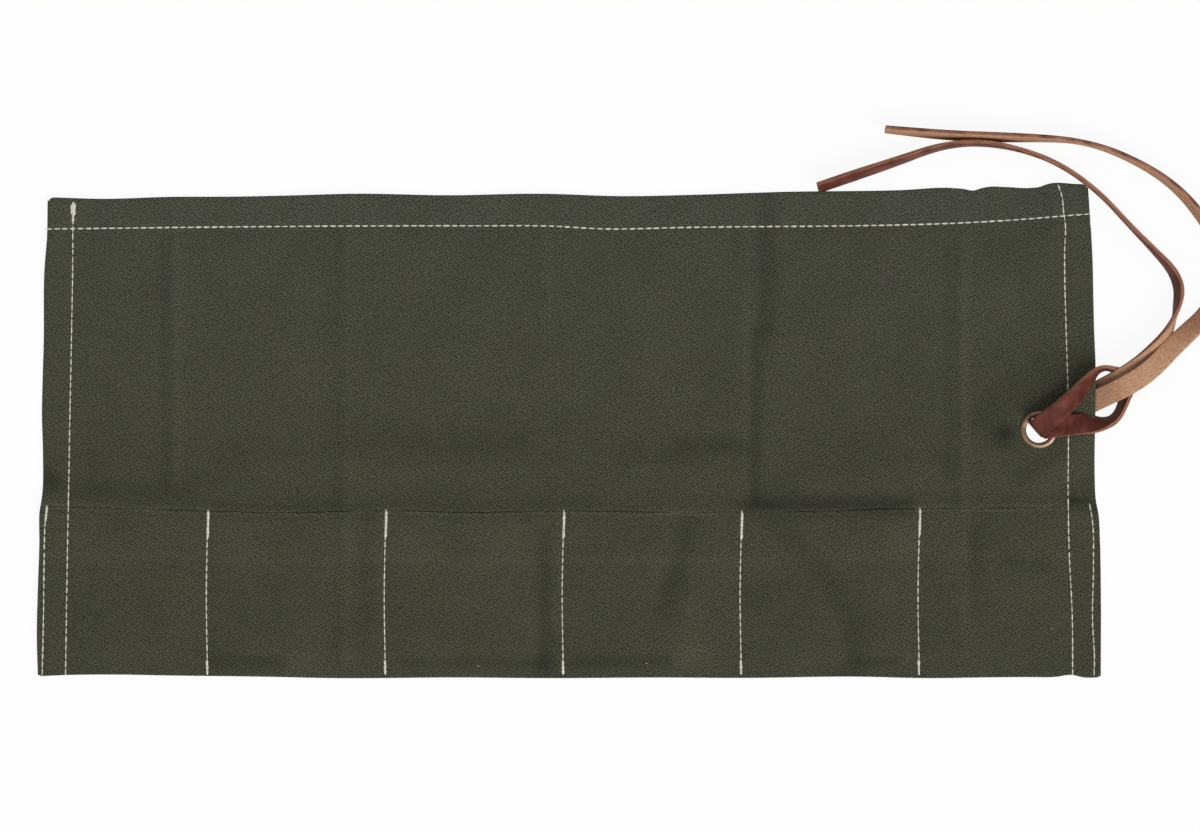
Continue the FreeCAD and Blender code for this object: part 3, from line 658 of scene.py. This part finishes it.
def bridle_leather():
    """Red-brown tanned strap: waxed grain on one face, pale suede on the other, burnished tan edges."""
    material, tree, shader = new_material("vegetable-tanned strap leather", {"Specular IOR Level": 0.15})
    flat = add_node(tree, "ShaderNodeUVMap", uv_map="flat").outputs[0]
    side = add_node(tree, "ShaderNodeAttribute", attribute_name="side").outputs["Fac"]
    # Pores and nap, longer along the strap and drawn coarser than they are so that they show
    stretched = add_node(tree, "ShaderNodeMapping", {"Vector": flat, "Scale": (1, 0.35, 1)})
    pores = add_node(tree, "ShaderNodeTexNoise", {
        "Vector": stretched.outputs[0], "Scale": per_metre(0.7), "Detail": 4.0, "Roughness": 0.6})
    cloudy = add_node(tree, "ShaderNodeTexNoise", {"Vector": flat, "Scale": per_metre(9), "Detail": 4.0})
    nap = add_node(tree, "ShaderNodeMapRange", {"Value": pores.outputs["Fac"], 1: 0.26, 2: 0.74})
    stained = add_node(tree, "ShaderNodeMapRange", {"Value": cloudy.outputs["Fac"], 1: 0.34, 2: 0.66})
    sides = {}
    for name, share, dark, pale in (
        ("suede", nap, "#9a6f57", "#d2a784"),
        ("grain", stained, "#481f18", "#753f31"),
        ("edge", stained, "#704639", "#b07d65"),
    ):
        tone = add_node(tree, "ShaderNodeMix", {0: share.outputs[0], 6: linear(dark), 7: linear(pale)},
                        data_type="RGBA")
        sides[name] = tone.outputs[2]
    to_edge = add_node(tree, "ShaderNodeMapRange", {"Value": side, 1: 0.08, 2: 0.3})
    to_grain = add_node(tree, "ShaderNodeMapRange", {"Value": side, 1: 0.7, 2: 0.92})
    under = add_node(tree, "ShaderNodeMix", {0: to_edge.outputs[0], 6: sides["suede"], 7: sides["edge"]},
                     data_type="RGBA")
    hide = add_node(tree, "ShaderNodeMix", {0: to_grain.outputs[0], 6: under.outputs[2], 7: sides["grain"]},
                    data_type="RGBA")
    tree.links.new(hide.outputs[2], shader.inputs["Base Color"])
    polish = add_node(tree, "ShaderNodeMapRange", {"Value": to_grain.outputs[0], 3: 0.85, 4: 0.62})
    tree.links.new(polish.outputs[0], shader.inputs["Roughness"])
    bump = add_node(tree, "ShaderNodeBump", {
        "Height": pores.outputs["Fac"], "Strength": 0.55, "Distance": 0.3 * MM})
    tree.links.new(bump.outputs[0], shader.inputs["Normal"])
    return material


def antique_brass():
    """Antiqued brass stamping: a dull, warm brown patina, worn brighter in patches."""
    material, tree, shader = new_material("antiqued brass", {"Metallic": 1.0, "Roughness": 0.5})
    place = add_node(tree, "ShaderNodeTexCoord").outputs["Object"]
    patina = add_node(tree, "ShaderNodeTexNoise", {"Vector": place, "Scale": per_metre(3.2), "Detail": 5.0})
    tone = add_node(tree, "ShaderNodeValToRGB", {"Fac": patina.outputs["Fac"]},
                    stops=((0.3, "#7f6853"), (0.72, "#b79b82")))
    tree.links.new(tone.outputs[0], shader.inputs["Base Color"])
    bump = add_node(tree, "ShaderNodeBump", {
        "Height": patina.outputs["Fac"], "Strength": 0.12, "Distance": 0.3 * MM})
    tree.links.new(bump.outputs[0], shader.inputs["Normal"])
    return material


# One stitch's sizes, and each kind of row as shares of the stitch's spacing, length and thickness
STITCH = {"Pitch": 3.5, "Length": 3.7, "Width": 0.66, "Height": 0.5}
ROW_SHARES = ("spacing", "reach", "weight")
SEAM = (1.0, 1.0, 1.0)
TOP_SEAM = (1.0, 0.9, 1.2)
LOCK = (0.4, 0.85, 2.0)


def stitch_tree(thread):
    """Geometry nodes that lay one rounded stitch at each step along every line of the input."""
    tree = bpy.data.node_groups.new("sewn stitches", "GeometryNodeTree")
    tree.is_modifier = True
    face = tree.interface
    face.new_socket("Lines", in_out="INPUT", socket_type="NodeSocketGeometry")
    for name, size in STITCH.items():
        socket = face.new_socket(name, in_out="INPUT", socket_type="NodeSocketFloat")
        socket.default_value = size * MM
    seed = face.new_socket("Seed", in_out="INPUT", socket_type="NodeSocketInt")
    seed.default_value = 3
    face.new_socket("Stitches", in_out="OUTPUT", socket_type="NodeSocketGeometry")
    given = add_node(tree, "NodeGroupInput").outputs
    shares = {}
    for name in ROW_SHARES:
        shares[name] = add_node(tree, "GeometryNodeInputNamedAttribute", {"Name": name}).outputs["Attribute"]
    lines = add_node(tree, "GeometryNodeMeshToCurve", {"Mesh": given["Lines"]})
    step = add_node(tree, "ShaderNodeMath", {0: given["Pitch"], 1: shares["spacing"]}, operation="MULTIPLY")
    steps = add_node(tree, "GeometryNodeResampleCurve", {
        "Curve": lines.outputs[0], "Length": step.outputs[0]}, mode="LENGTH")
    ball = add_node(tree, "GeometryNodeMeshUVSphere", {"Segments": 8, "Rings": 6, "Radius": 0.5})
    size = add_node(tree, "ShaderNodeCombineXYZ", {
        0: given["Length"], 1: given["Width"], 2: given["Height"]})
    stitch = add_node(tree, "GeometryNodeTransform", {"Geometry": ball.outputs[0], "Scale": size.outputs[0]})
    heading = add_node(tree, "GeometryNodeInputTangent")
    turn = add_node(tree, "FunctionNodeAlignRotationToVector", {"Vector": heading.outputs[0]}, axis="X")
    uneven = add_node(tree, "FunctionNodeRandomValue", {
        0: (0.9, 0.82, 0.9), 1: (1.06, 1.16, 1.05), "Seed": given["Seed"]}, data_type="FLOAT_VECTOR")
    row_share = add_node(tree, "ShaderNodeCombineXYZ", {
        0: shares["reach"], 1: shares["weight"], 2: shares["weight"]})
    drawn = add_node(tree, "ShaderNodeVectorMath", {0: uneven.outputs[0], 1: row_share.outputs[0]},
                     operation="MULTIPLY")
    laid = add_node(tree, "GeometryNodeInstanceOnPoints", {
        "Points": steps.outputs[0], "Instance": stitch.outputs[0],
        "Rotation": turn.outputs[0], "Scale": drawn.outputs[0]})
    real = add_node(tree, "GeometryNodeRealizeInstances", {"Geometry": laid.outputs[0]})
    smooth = add_node(tree, "GeometryNodeSetShadeSmooth", {"Geometry": real.outputs[0]})
    finished = add_node(tree, "GeometryNodeSetMaterial", {"Geometry": smooth.outputs[0], "Material": thread})
    add_node(tree, "NodeGroupOutput", {"Stitches": finished.outputs[0]})
    return tree


# Spacing of the places along a row, and how far stitches lie from the middle of the cloth on either side
ROW_STEP = 1.5
STITCH_LIFT = CLOTH / 2 + 0.02
STITCH_SINK = CLOTH / 2 - 0.13
# Where rows end: the top row at the two sides, the rows up the canvas at its lower edge
TOP_ROW_ENDS = (-235.6, 234.4)
DIVIDER_FOOT = -107.6
SIDE_FOOT = -107.8


def on_face(x, y):
    """Level of a row on the back cloth."""
    return face_height(x, y) + STITCH_LIFT


def on_front(x, y):
    """Level of a row on the pockets."""
    return front_height(x, y) + STITCH_LIFT


def under_face(x, y):
    """Level of a row on the outside of the back cloth."""
    return face_height(x, y) - STITCH_SINK


def under_hem(x, y):
    """Level of a row on the outside of a turned hem."""
    return under_face(x, y) - LAYER * (1 + hem_corner(x, y))


def up_row(points, start, end, level, shift=0.0):
    """A row up the canvas between two heights, at the level given."""
    y = np.linspace(start, end, round(abs(end - start) / ROW_STEP) + 1)
    x = line_through(points, y) + shift
    return np.stack([x, y, level(x, y)], 1)


def across_row(points, start, end, level):
    """A row across the canvas between two places, at the level given."""
    x = np.linspace(start, end, round((end - start) / ROW_STEP) + 1)
    y = line_through(points, x)
    return np.stack([x, y, level(x, y)], 1)


def stitch_rows(number, span):
    """The rows of sewing on one stretch of the cloth, each with its kind."""
    half_pitch = STITCH["Pitch"] / 2
    start = max(span[0], TOP_ROW_ENDS[0]) + half_pitch
    end = min(span[1], TOP_ROW_ENDS[1]) - half_pitch
    rows = [(TOP_SEAM, across_row(TOP_ROW, start, end, on_face)),
            (SEAM, across_row(TOP_ROW, start, end, under_hem))]
    seam = SEAMS[number - 1]
    sway = [(y, seam + x) for y, x in DIVIDER_SWAY]
    mouth = float(line_through(MOUTH_EDGE, seam))
    up = [(SEAM, sway, DIVIDER_FOOT, mouth - 0.6, on_front),
          (LOCK, sway, mouth - 10.5, mouth - 1.0, on_front, 0.15),
          (LOCK, sway, DIVIDER_FOOT, DIVIDER_FOOT + 4, on_front, -0.15),
          (SEAM, sway, DIVIDER_FOOT, mouth - 0.6, under_face)]
    sides = {1: (LEFT_ROW, LEFT_POCKET_ROW, LEFT), len(SEAMS): (RIGHT_ROW, RIGHT_POCKET_ROW, RIGHT)}
    if number in sides:
        hem_row, pocket_row, end_x = sides[number]
        mouth = float(line_through(MOUTH_EDGE, end_x))
        hem_top = hem_row[-1][0] - 1.0
        up += [(SEAM, hem_row, SIDE_FOOT, mouth - 1.2, on_front),
               (SEAM, hem_row, mouth + 1.6, hem_top, on_face),
               (SEAM, pocket_row, SIDE_FOOT, mouth - 0.8, on_front),
               (SEAM, hem_row, SIDE_FOOT, hem_top, under_hem),
               (SEAM, pocket_row, SIDE_FOOT, mouth - 0.8, under_hem)]
    if number == 1:
        up += [(LOCK, pocket_row, mouth - 5.4, mouth - 1.0, on_front, 0.15),
               (LOCK, hem_row, 95.6, 102.2, on_face),
               (LOCK, hem_row, 98.6, 101.6, on_face, 0.6),
               (LOCK, hem_row, 99.2, 101.2, on_face, -0.6)]
    return rows + [(kind, up_row(*row)) for kind, *row in up]


def sewn_stitches(name, rows, tree, seed):
    """One mesh of stitches along the rows."""
    counts = [len(row) for kind, row in rows]
    starts = np.concatenate([[0], np.cumsum(counts)])
    edges = [(i, i + 1) for a, b in zip(starts, starts[1:]) for i in range(a, b - 1)]
    lines = bpy.data.meshes.new(f"{name}_lines")
    lines.from_pydata((np.concatenate([row for kind, row in rows]) * MM).tolist(), edges, [])
    for k, share_name in enumerate(ROW_SHARES):
        attribute = lines.attributes.new(share_name, "FLOAT", "POINT")
        shares = np.repeat([kind[k] for kind, row in rows], counts)
        attribute.data.foreach_set("value", shares.astype(np.float32))
    line = bpy.data.objects.new(f"{name}_lines", lines)
    bpy.context.scene.collection.objects.link(line)
    modifier = line.modifiers.new("stitches", "NODES")
    modifier.node_group = tree
    sockets = {item.name: item.identifier for item in tree.interface.items_tree}
    modifier[sockets["Seed"]] = seed
    depsgraph = bpy.context.evaluated_depsgraph_get()
    mesh = bpy.data.meshes.new_from_object(line.evaluated_get(depsgraph))
    mesh.name = name
    line.modifiers.remove(modifier)
    bpy.data.objects.remove(line)
    bpy.data.meshes.remove(lines)
    thing = bpy.data.objects.new(name, mesh)
    bpy.context.scene.collection.objects.link(thing)
    return thing


# The tie's route, measured from the eyelet's axis and the table: x, y, z and the strap's lean in degrees
BIGHT_ROUTE = [
    (-0.8, 0.6, 2.4, 0), (-0.8, 0.6, 9.6, 0), (-0.8, 0.6, 12.6, 0), (1.6, 2.7, 12.7, 6),
    (6.3, 6.3, 12.5, 16), (9.5, 8.8, 12.3, 26), (15.2, 14.3, 11.6, 40), (21.8, 21.6, 10.4, 58),
    (25.4, 25.9, 9.2, 76), (29, 27.7, 7.8, 88), (33, 27.5, 6.6, 88), (36.6, 25.9, 5.4, 70),
    (39.4, 22.6, 4.4, 50), (39.8, 18.6, 4.6, 50), (38.8, 14.6, 5.1, 66), (37.8, 11.2, 5.3, 73),
    (36, 7.2, 5.4, 74), (33.4, 4.4, 5.8, 72), (29.2, 3, 7.2, 62), (24.3, 2.6, 8.8, 36),
    (19.4, 2.7, 9.4, 14), (13, 2.2, 9.4, 8), (7.1, 1.3, 9.4, 4), (2.7, 0.7, 9.3, 0),
    (2.5, 0.6, 4.9, 0)]
SHORT_TAIL_ROUTE = [
    (3.4, 2.6, 1.3, 0), (9.4, 6.4, 1.3, 0), (17.6, 11.8, 1.3, 0), (25, 16.4, 1.8, 0),
    (31, 19.6, 6, 2), (36.4, 22.6, 10.4, 4), (42, 26.2, 10.6, 8), (47.2, 30.2, 8.8, 26),
    (52.4, 36, 7, 46), (57.2, 42, 6, 61), (60.6, 49, 5.3, 81), (62.6, 56.6, 5, 102),
    (63.4, 63.8, 5, 108), (60.2, 71.8, 5, 103), (51.6, 80.9, 5, 93), (40.4, 92.4, 5, 88),
    (29.6, 104.3, 5, 86), (17.6, 114.2, 5, 86), (5.2, 121.4, 5, 86), (-8, 125.9, 5, 89),
    (-20, 128.4, 5, 94), (-33, 129, 5, 95), (-47, 126.7, 5, 98), (-64, 120.5, 5, 105),
    (-82.6, 114.4, 5, 111), (-99.2, 108.7, 5, 110)]
LONG_TAIL_ROUTE = [
    (3.4, 2, 3.7, 0), (9, 4.9, 3.7, 0), (17.6, 9.2, 3.8, 0), (25.2, 13.1, 4.4, 0),
    (31.2, 16, 8.6, 0), (37.2, 19, 13, 4), (45, 23.5, 13.2, 10), (52, 29, 10.4, 12),
    (59.6, 36.8, 6.8, -4), (67, 43.7, 4.8, -28), (75.2, 51.4, 4.2, -42), (81.6, 62.4, 5, -56),
    (83.4, 74.6, 5, -66), (79.4, 86.6, 5, -70), (72.2, 97, 5, -74), (64.6, 106, 5, -78),
    (55.2, 113.8, 5, -82), (44, 120.4, 5, -85), (31, 126.2, 5, -88), (19, 129.4, 5, -90),
    (8, 130.7, 5, -86), (-7, 131.2, 5, -79), (-22, 131.5, 5, -74), (-37, 132.1, 5, -74),
    (-52, 133.3, 5, -77), (-68.9, 135, 5, -82)]
STRAP_WIDTH = 9.4
STRAP_THICKNESS = 2.2
STRAP_CORNER = 0.6
STRAP_CROWN = 0.12
# Where less than this share of the route's run is level, the strap keeps the nearest level heading
STEEP = 0.3


def spline_points(controls):
    """Points along the smooth spline that has these control points."""
    curve = bpy.data.curves.new("route", "CURVE")
    curve.dimensions = "3D"
    curve.resolution_u = 7
    spline = curve.splines.new("NURBS")
    spline.points.add(len(controls) - 1)
    for point, place in zip(spline.points, controls):
        point.co = (*place, 1)
    spline.order_u = 3
    spline.use_endpoint_u = True
    line = bpy.data.objects.new("route", curve)
    bpy.context.scene.collection.objects.link(line)
    mesh = bpy.data.meshes.new_from_object(line.evaluated_get(bpy.context.evaluated_depsgraph_get()))
    points = np.array([vertex.co for vertex in mesh.vertices])
    bpy.data.objects.remove(line)
    bpy.data.curves.remove(curve)
    bpy.data.meshes.remove(mesh)
    return points


def strap_section():
    """The strap's section as (across, up) places, with rounded corners and slightly crowned faces."""
    half_width = STRAP_WIDTH / 2 - STRAP_CORNER
    half_thickness = STRAP_THICKNESS / 2 - STRAP_CORNER
    places = []
    for quadrant, (a, b) in enumerate([(1, 1), (-1, 1), (-1, -1), (1, -1)]):
        for step in range(4):
            turn = math.radians(90 * quadrant + 30 * step)
            across = a * half_width + STRAP_CORNER * math.cos(turn)
            up = b * half_thickness + STRAP_CORNER * math.sin(turn)
            places.append((across, up))
        if quadrant in (0, 2):
            for share in (0.6, 0.2, -0.2, -0.6):
                crowned = STRAP_THICKNESS / 2 + STRAP_CROWN * (1 - share ** 2)
                places.append((a * half_width * share, b * crowned))
    return np.array(places)


def strap(name, route, grain_up, material):
    """A leather strap along its route, marked 1 on its grain, 0 on its flesh and between on its edges."""
    foot = np.array([EYELET.x, EYELET.y, 0])
    controls = [tuple((foot + place) * MM) for place in np.array(route)[:, :3]]
    line = spline_points(controls) / MM
    leans = np.radians(spline_points([(lean, 0, 0) for lean in np.array(route)[:, 3]])[:, 0])
    heading = np.gradient(line, axis=0)
    heading /= np.linalg.norm(heading, axis=1, keepdims=True)
    level = np.stack([-heading[:, 1], heading[:, 0], np.zeros(len(line))], 1)
    gentle = np.flatnonzero(np.linalg.norm(level, axis=1) > STEEP)
    nearest = gentle[np.argmin(np.abs(np.arange(len(line))[:, None] - gentle), axis=1)]
    across = level[nearest]
    across -= heading * np.sum(across * heading, axis=1, keepdims=True)
    across /= np.linalg.norm(across, axis=1, keepdims=True)
    up = np.cross(heading, across)
    wide = across * np.cos(leans)[:, None] + up * np.sin(leans)[:, None]
    thick = up * np.cos(leans)[:, None] - across * np.sin(leans)[:, None]
    section = strap_section()
    count = len(section)
    run = lengths_along(line)
    uneven = 1 + 0.018 * np.sin(run / 17) + 0.012 * np.sin(run / 7.3 + 1)
    places = (line[:, None] + wide[:, None] * (section[:, 0] * uneven[:, None])[..., None]
              + thick[:, None] * section[None, :, 1, None])
    ring = np.arange(count)
    faces = []
    for i in range(len(line) - 1):
        a, b = i * count + ring, i * count + (ring + 1) % count
        faces.extend(np.stack([a, b, b + count, a + count], 1)[:, ::-1].tolist())
    faces.append(ring.tolist())
    faces.append((ring[::-1] + (len(line) - 1) * count).tolist())
    flags = np.arange(len(faces)) < len(faces) - 2
    around = lengths_along(section)
    flat = np.stack(np.broadcast_arrays(around[None, :], run[:, None]), -1).reshape(-1, 2)
    thing = make_object(name, places.reshape(-1, 3), faces, material, flags, flat)
    share = 0.5 + 0.5 * np.clip(section[:, 1] / (STRAP_THICKNESS / 2), -1, 1)
    side = share if grain_up else 1 - share
    attribute = thing.data.attributes.new("side", "FLOAT", "POINT")
    attribute.data.foreach_set("value", np.tile(side, len(line)).astype(np.float32))
    return thing, line * MM


def turned_ring(name, profile, material):
    """A ring turned about the eyelet's axis from (radius, height) places."""
    steps = 96
    turns = np.linspace(0, 2 * math.pi, steps, endpoint=False)
    radii, heights = np.array(profile).T
    places = np.stack([
        EYELET.x + np.cos(turns)[:, None] * radii,
        EYELET.y + np.sin(turns)[:, None] * radii,
        np.broadcast_to(heights, (steps, len(heights)))], -1)
    count = len(profile)
    index = np.arange(steps * count).reshape(steps, count)
    a, b = index, np.roll(index, -1, axis=1)
    c, d = np.roll(b, -1, axis=0), np.roll(a, -1, axis=0)
    faces = np.stack([a, d, c, b], -1).reshape(-1, 4)
    return make_object(name, places.reshape(-1, 3), faces, material)


def arc(centre, radius, start, end, steps=6):
    """Places along an arc in the turning plane, angles in degrees."""
    turns = np.radians(np.linspace(start, end, steps))
    return [(centre[0] + radius * math.cos(t), centre[1] + radius * math.sin(t)) for t in turns]


# The scene's ring is a little wider than the solid's, and this high above the canvas
RING_WIDER = 0.2
RING_HEIGHT = 1.15


def eyelet_ring(material):
    """Rolled front ring, barrel and clinched lip of the eyelet."""
    canvas_top = EYELET_HIGH.z - 0.9
    roll = (FLANGE + RING_WIDER - BORE) / 4
    inner, low, wall = BORE / 2, EYELET_LOW.z, 0.5
    crown = [(inner + roll + roll * math.cos(t), canvas_top + RING_HEIGHT * math.sin(t))
             for t in np.radians(np.linspace(0, 180, 15))]
    barrel = [(inner, canvas_top - 0.4), (inner, low + 0.4), (inner + 0.2, low), (inner + 1.2, low),
              (inner + 1.3, low + wall), (inner + wall, low + wall), (inner + wall, canvas_top - 0.05)]
    return turned_ring("eyelet_ring", crown + barrel, material)


def washer_ring(material):
    """The eyelet's second half, behind the canvas, with its outer rim rounded."""
    low, high = node_box("eyelet_washer")
    inner, outer, rim = BORE / 2 + 0.65, FLANGE / 2, 0.3
    profile = arc((outer - rim, high.z - rim), rim, 90, 0)
    profile += arc((outer - rim, low.z + rim), rim, 0, -90)
    profile += [(inner, low.z), (inner, high.z)]
    return turned_ring("eyelet_back_washer", profile[::-1], material)


def dress_canvas():
    """The cloth and its sewing in five stretches, each holding one seam."""
    twill, thread = canvas_twill(), sewing_thread()
    tree = stitch_tree(thread)
    grid = cloth_grid()
    _, flat, _, cuts, _ = grid
    spans = list(zip([LEFT] + HALVES, HALVES + [RIGHT]))
    for number, (seam, span) in enumerate(zip(SEAMS, spans), start=1):
        sheet = cloth_piece(f"canvas_{number}", grid, cuts[number - 1], cuts[number], twill)
        stitches = sewn_stitches(f"stitches_{number}", stitch_rows(number, span), tree, seed=number)
        for piece, slot in ((sheet, "canvas"), (stitches, "thread")):
            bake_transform(piece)
        columns = [number, number + 1] if number == len(SEAMS) else [number]
        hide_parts(*[f"{kind}_{k}" for k in columns for kind in ("back_panel", "pocket")])
        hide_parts(f"divider_thread_{number}", *[f"top_hem_thread_{k}" for k in columns])
        for end, name in ((1, "left"), (len(SEAMS), "right")):
            if number == end:
                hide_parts(f"{name}_hem_thread", f"{name}_pocket_thread")


def dress_tie():
    """The leather strap, hitched through the eyelet, with its loop and its two tails."""
    leather = bridle_leather()
    nodes = {"tie_loop": "tie_bight", "tie_short_end": "tie_tail_short", "tie_long_end": "tie_tail_long"}
    for name, route, grain_up, length, far_end in (
        ("tie_loop", BIGHT_ROUTE, True, 0.118, "object"),
        ("tie_short_end", SHORT_TAIL_ROUTE, False, 0.283, "bare"),
        ("tie_long_end", LONG_TAIL_ROUTE, False, 0.295, "bare"),
    ):
        piece, line = strap(name, route, grain_up, leather)
        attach(piece, "tie_column")
        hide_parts(nodes[name])


def dress_eyelet():
    """The two halves of the eyelet, which move with the tie."""
    brass = antique_brass()
    for piece, node in ((eyelet_ring(brass), "eyelet"), (washer_ring(brass), "eyelet_washer")):
        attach(piece, "tie_column")
        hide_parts(node)


def pale_table():
    """A white table that shows white to the eye and keeps soft shadows."""
    material = bpy.data.materials.new("white table")
    material.use_nodes = True
    tree = material.node_tree
    tree.nodes.clear()
    rays = add_node(tree, "ShaderNodeLightPath").outputs
    eye = add_node(tree, "ShaderNodeMath", {0: rays["Is Camera Ray"], 1: rays["Is Glossy Ray"]},
                   operation="MAXIMUM")
    seen = add_node(tree, "ShaderNodeMath", {0: eye.outputs[0], 1: rays["Is Transmission Ray"]},
                    operation="MAXIMUM")
    lit = add_node(tree, "ShaderNodeBsdfDiffuse", {"Color": (0.86, 0.86, 0.86, 1)})
    shadow = add_node(tree, "ShaderNodeBsdfDiffuse", {"Color": (0.06, 0.06, 0.06, 1)})
    glow = add_node(tree, "ShaderNodeEmission", {"Color": (1, 1, 1, 1), "Strength": 0.928})
    shown = add_node(tree, "ShaderNodeAddShader", {0: shadow.outputs[0], 1: glow.outputs[0]})
    mixed = add_node(tree, "ShaderNodeMixShader", {
        0: seen.outputs[0], 1: lit.outputs[0], 2: shown.outputs[0]})
    add_node(tree, "ShaderNodeOutputMaterial", {"Surface": mixed.outputs[0]})
    half, level = 3000, -0.15
    corners = [(-half, -half, level), (half, -half, level), (half, half, level), (-half, half, level)]
    table = make_object("table", corners, [(0, 1, 2, 3)], material)


def soft_light():
    """Even light all round, and one broad far lamp from the lower right."""
    world = bpy.data.worlds.new("studio")
    bpy.context.scene.world = world
    world.use_nodes = True
    tree = world.node_tree
    tree.nodes.clear()
    rays = add_node(tree, "ShaderNodeLightPath").outputs
    strength = add_node(tree, "ShaderNodeMapRange", {"Value": rays["Is Camera Ray"], 3: 0.4, 4: 1.0})
    sky = add_node(tree, "ShaderNodeBackground", {"Color": (1, 1, 1, 1), "Strength": strength.outputs[0]})
    add_node(tree, "ShaderNodeOutputWorld", {"Surface": sky.outputs[0]})
    lamp = bpy.data.lights.new("broad lamp", "SUN")
    lamp.angle = math.radians(32)
    lamp.energy = 2.15
    light = bpy.data.objects.new("broad lamp", lamp)
    light.rotation_euler = Vector((-0.62, 0.74, -1.0)).to_track_quat("-Z", "Y").to_euler()
    bpy.context.scene.collection.objects.link(light)


def photo_camera():
    """Straight down on the canvas, framed as the photograph is."""
    camera = bpy.data.cameras.new("camera")
    camera.sensor_width = 36
    camera.lens = 200
    thing = bpy.data.objects.new("camera", camera)
    frame_width, middle_x, middle_y = 540 * MM, 13.95 * MM, 7.43 * MM
    thing.location = (middle_x, middle_y, frame_width * camera.lens / camera.sensor_width)
    bpy.context.scene.collection.objects.link(thing)
    bpy.context.scene.camera = thing


photo_camera()
soft_light()
pale_table()
dress_tie()
dress_canvas()
dress_eyelet()
bpy.context.scene.view_settings.view_transform = "Standard"
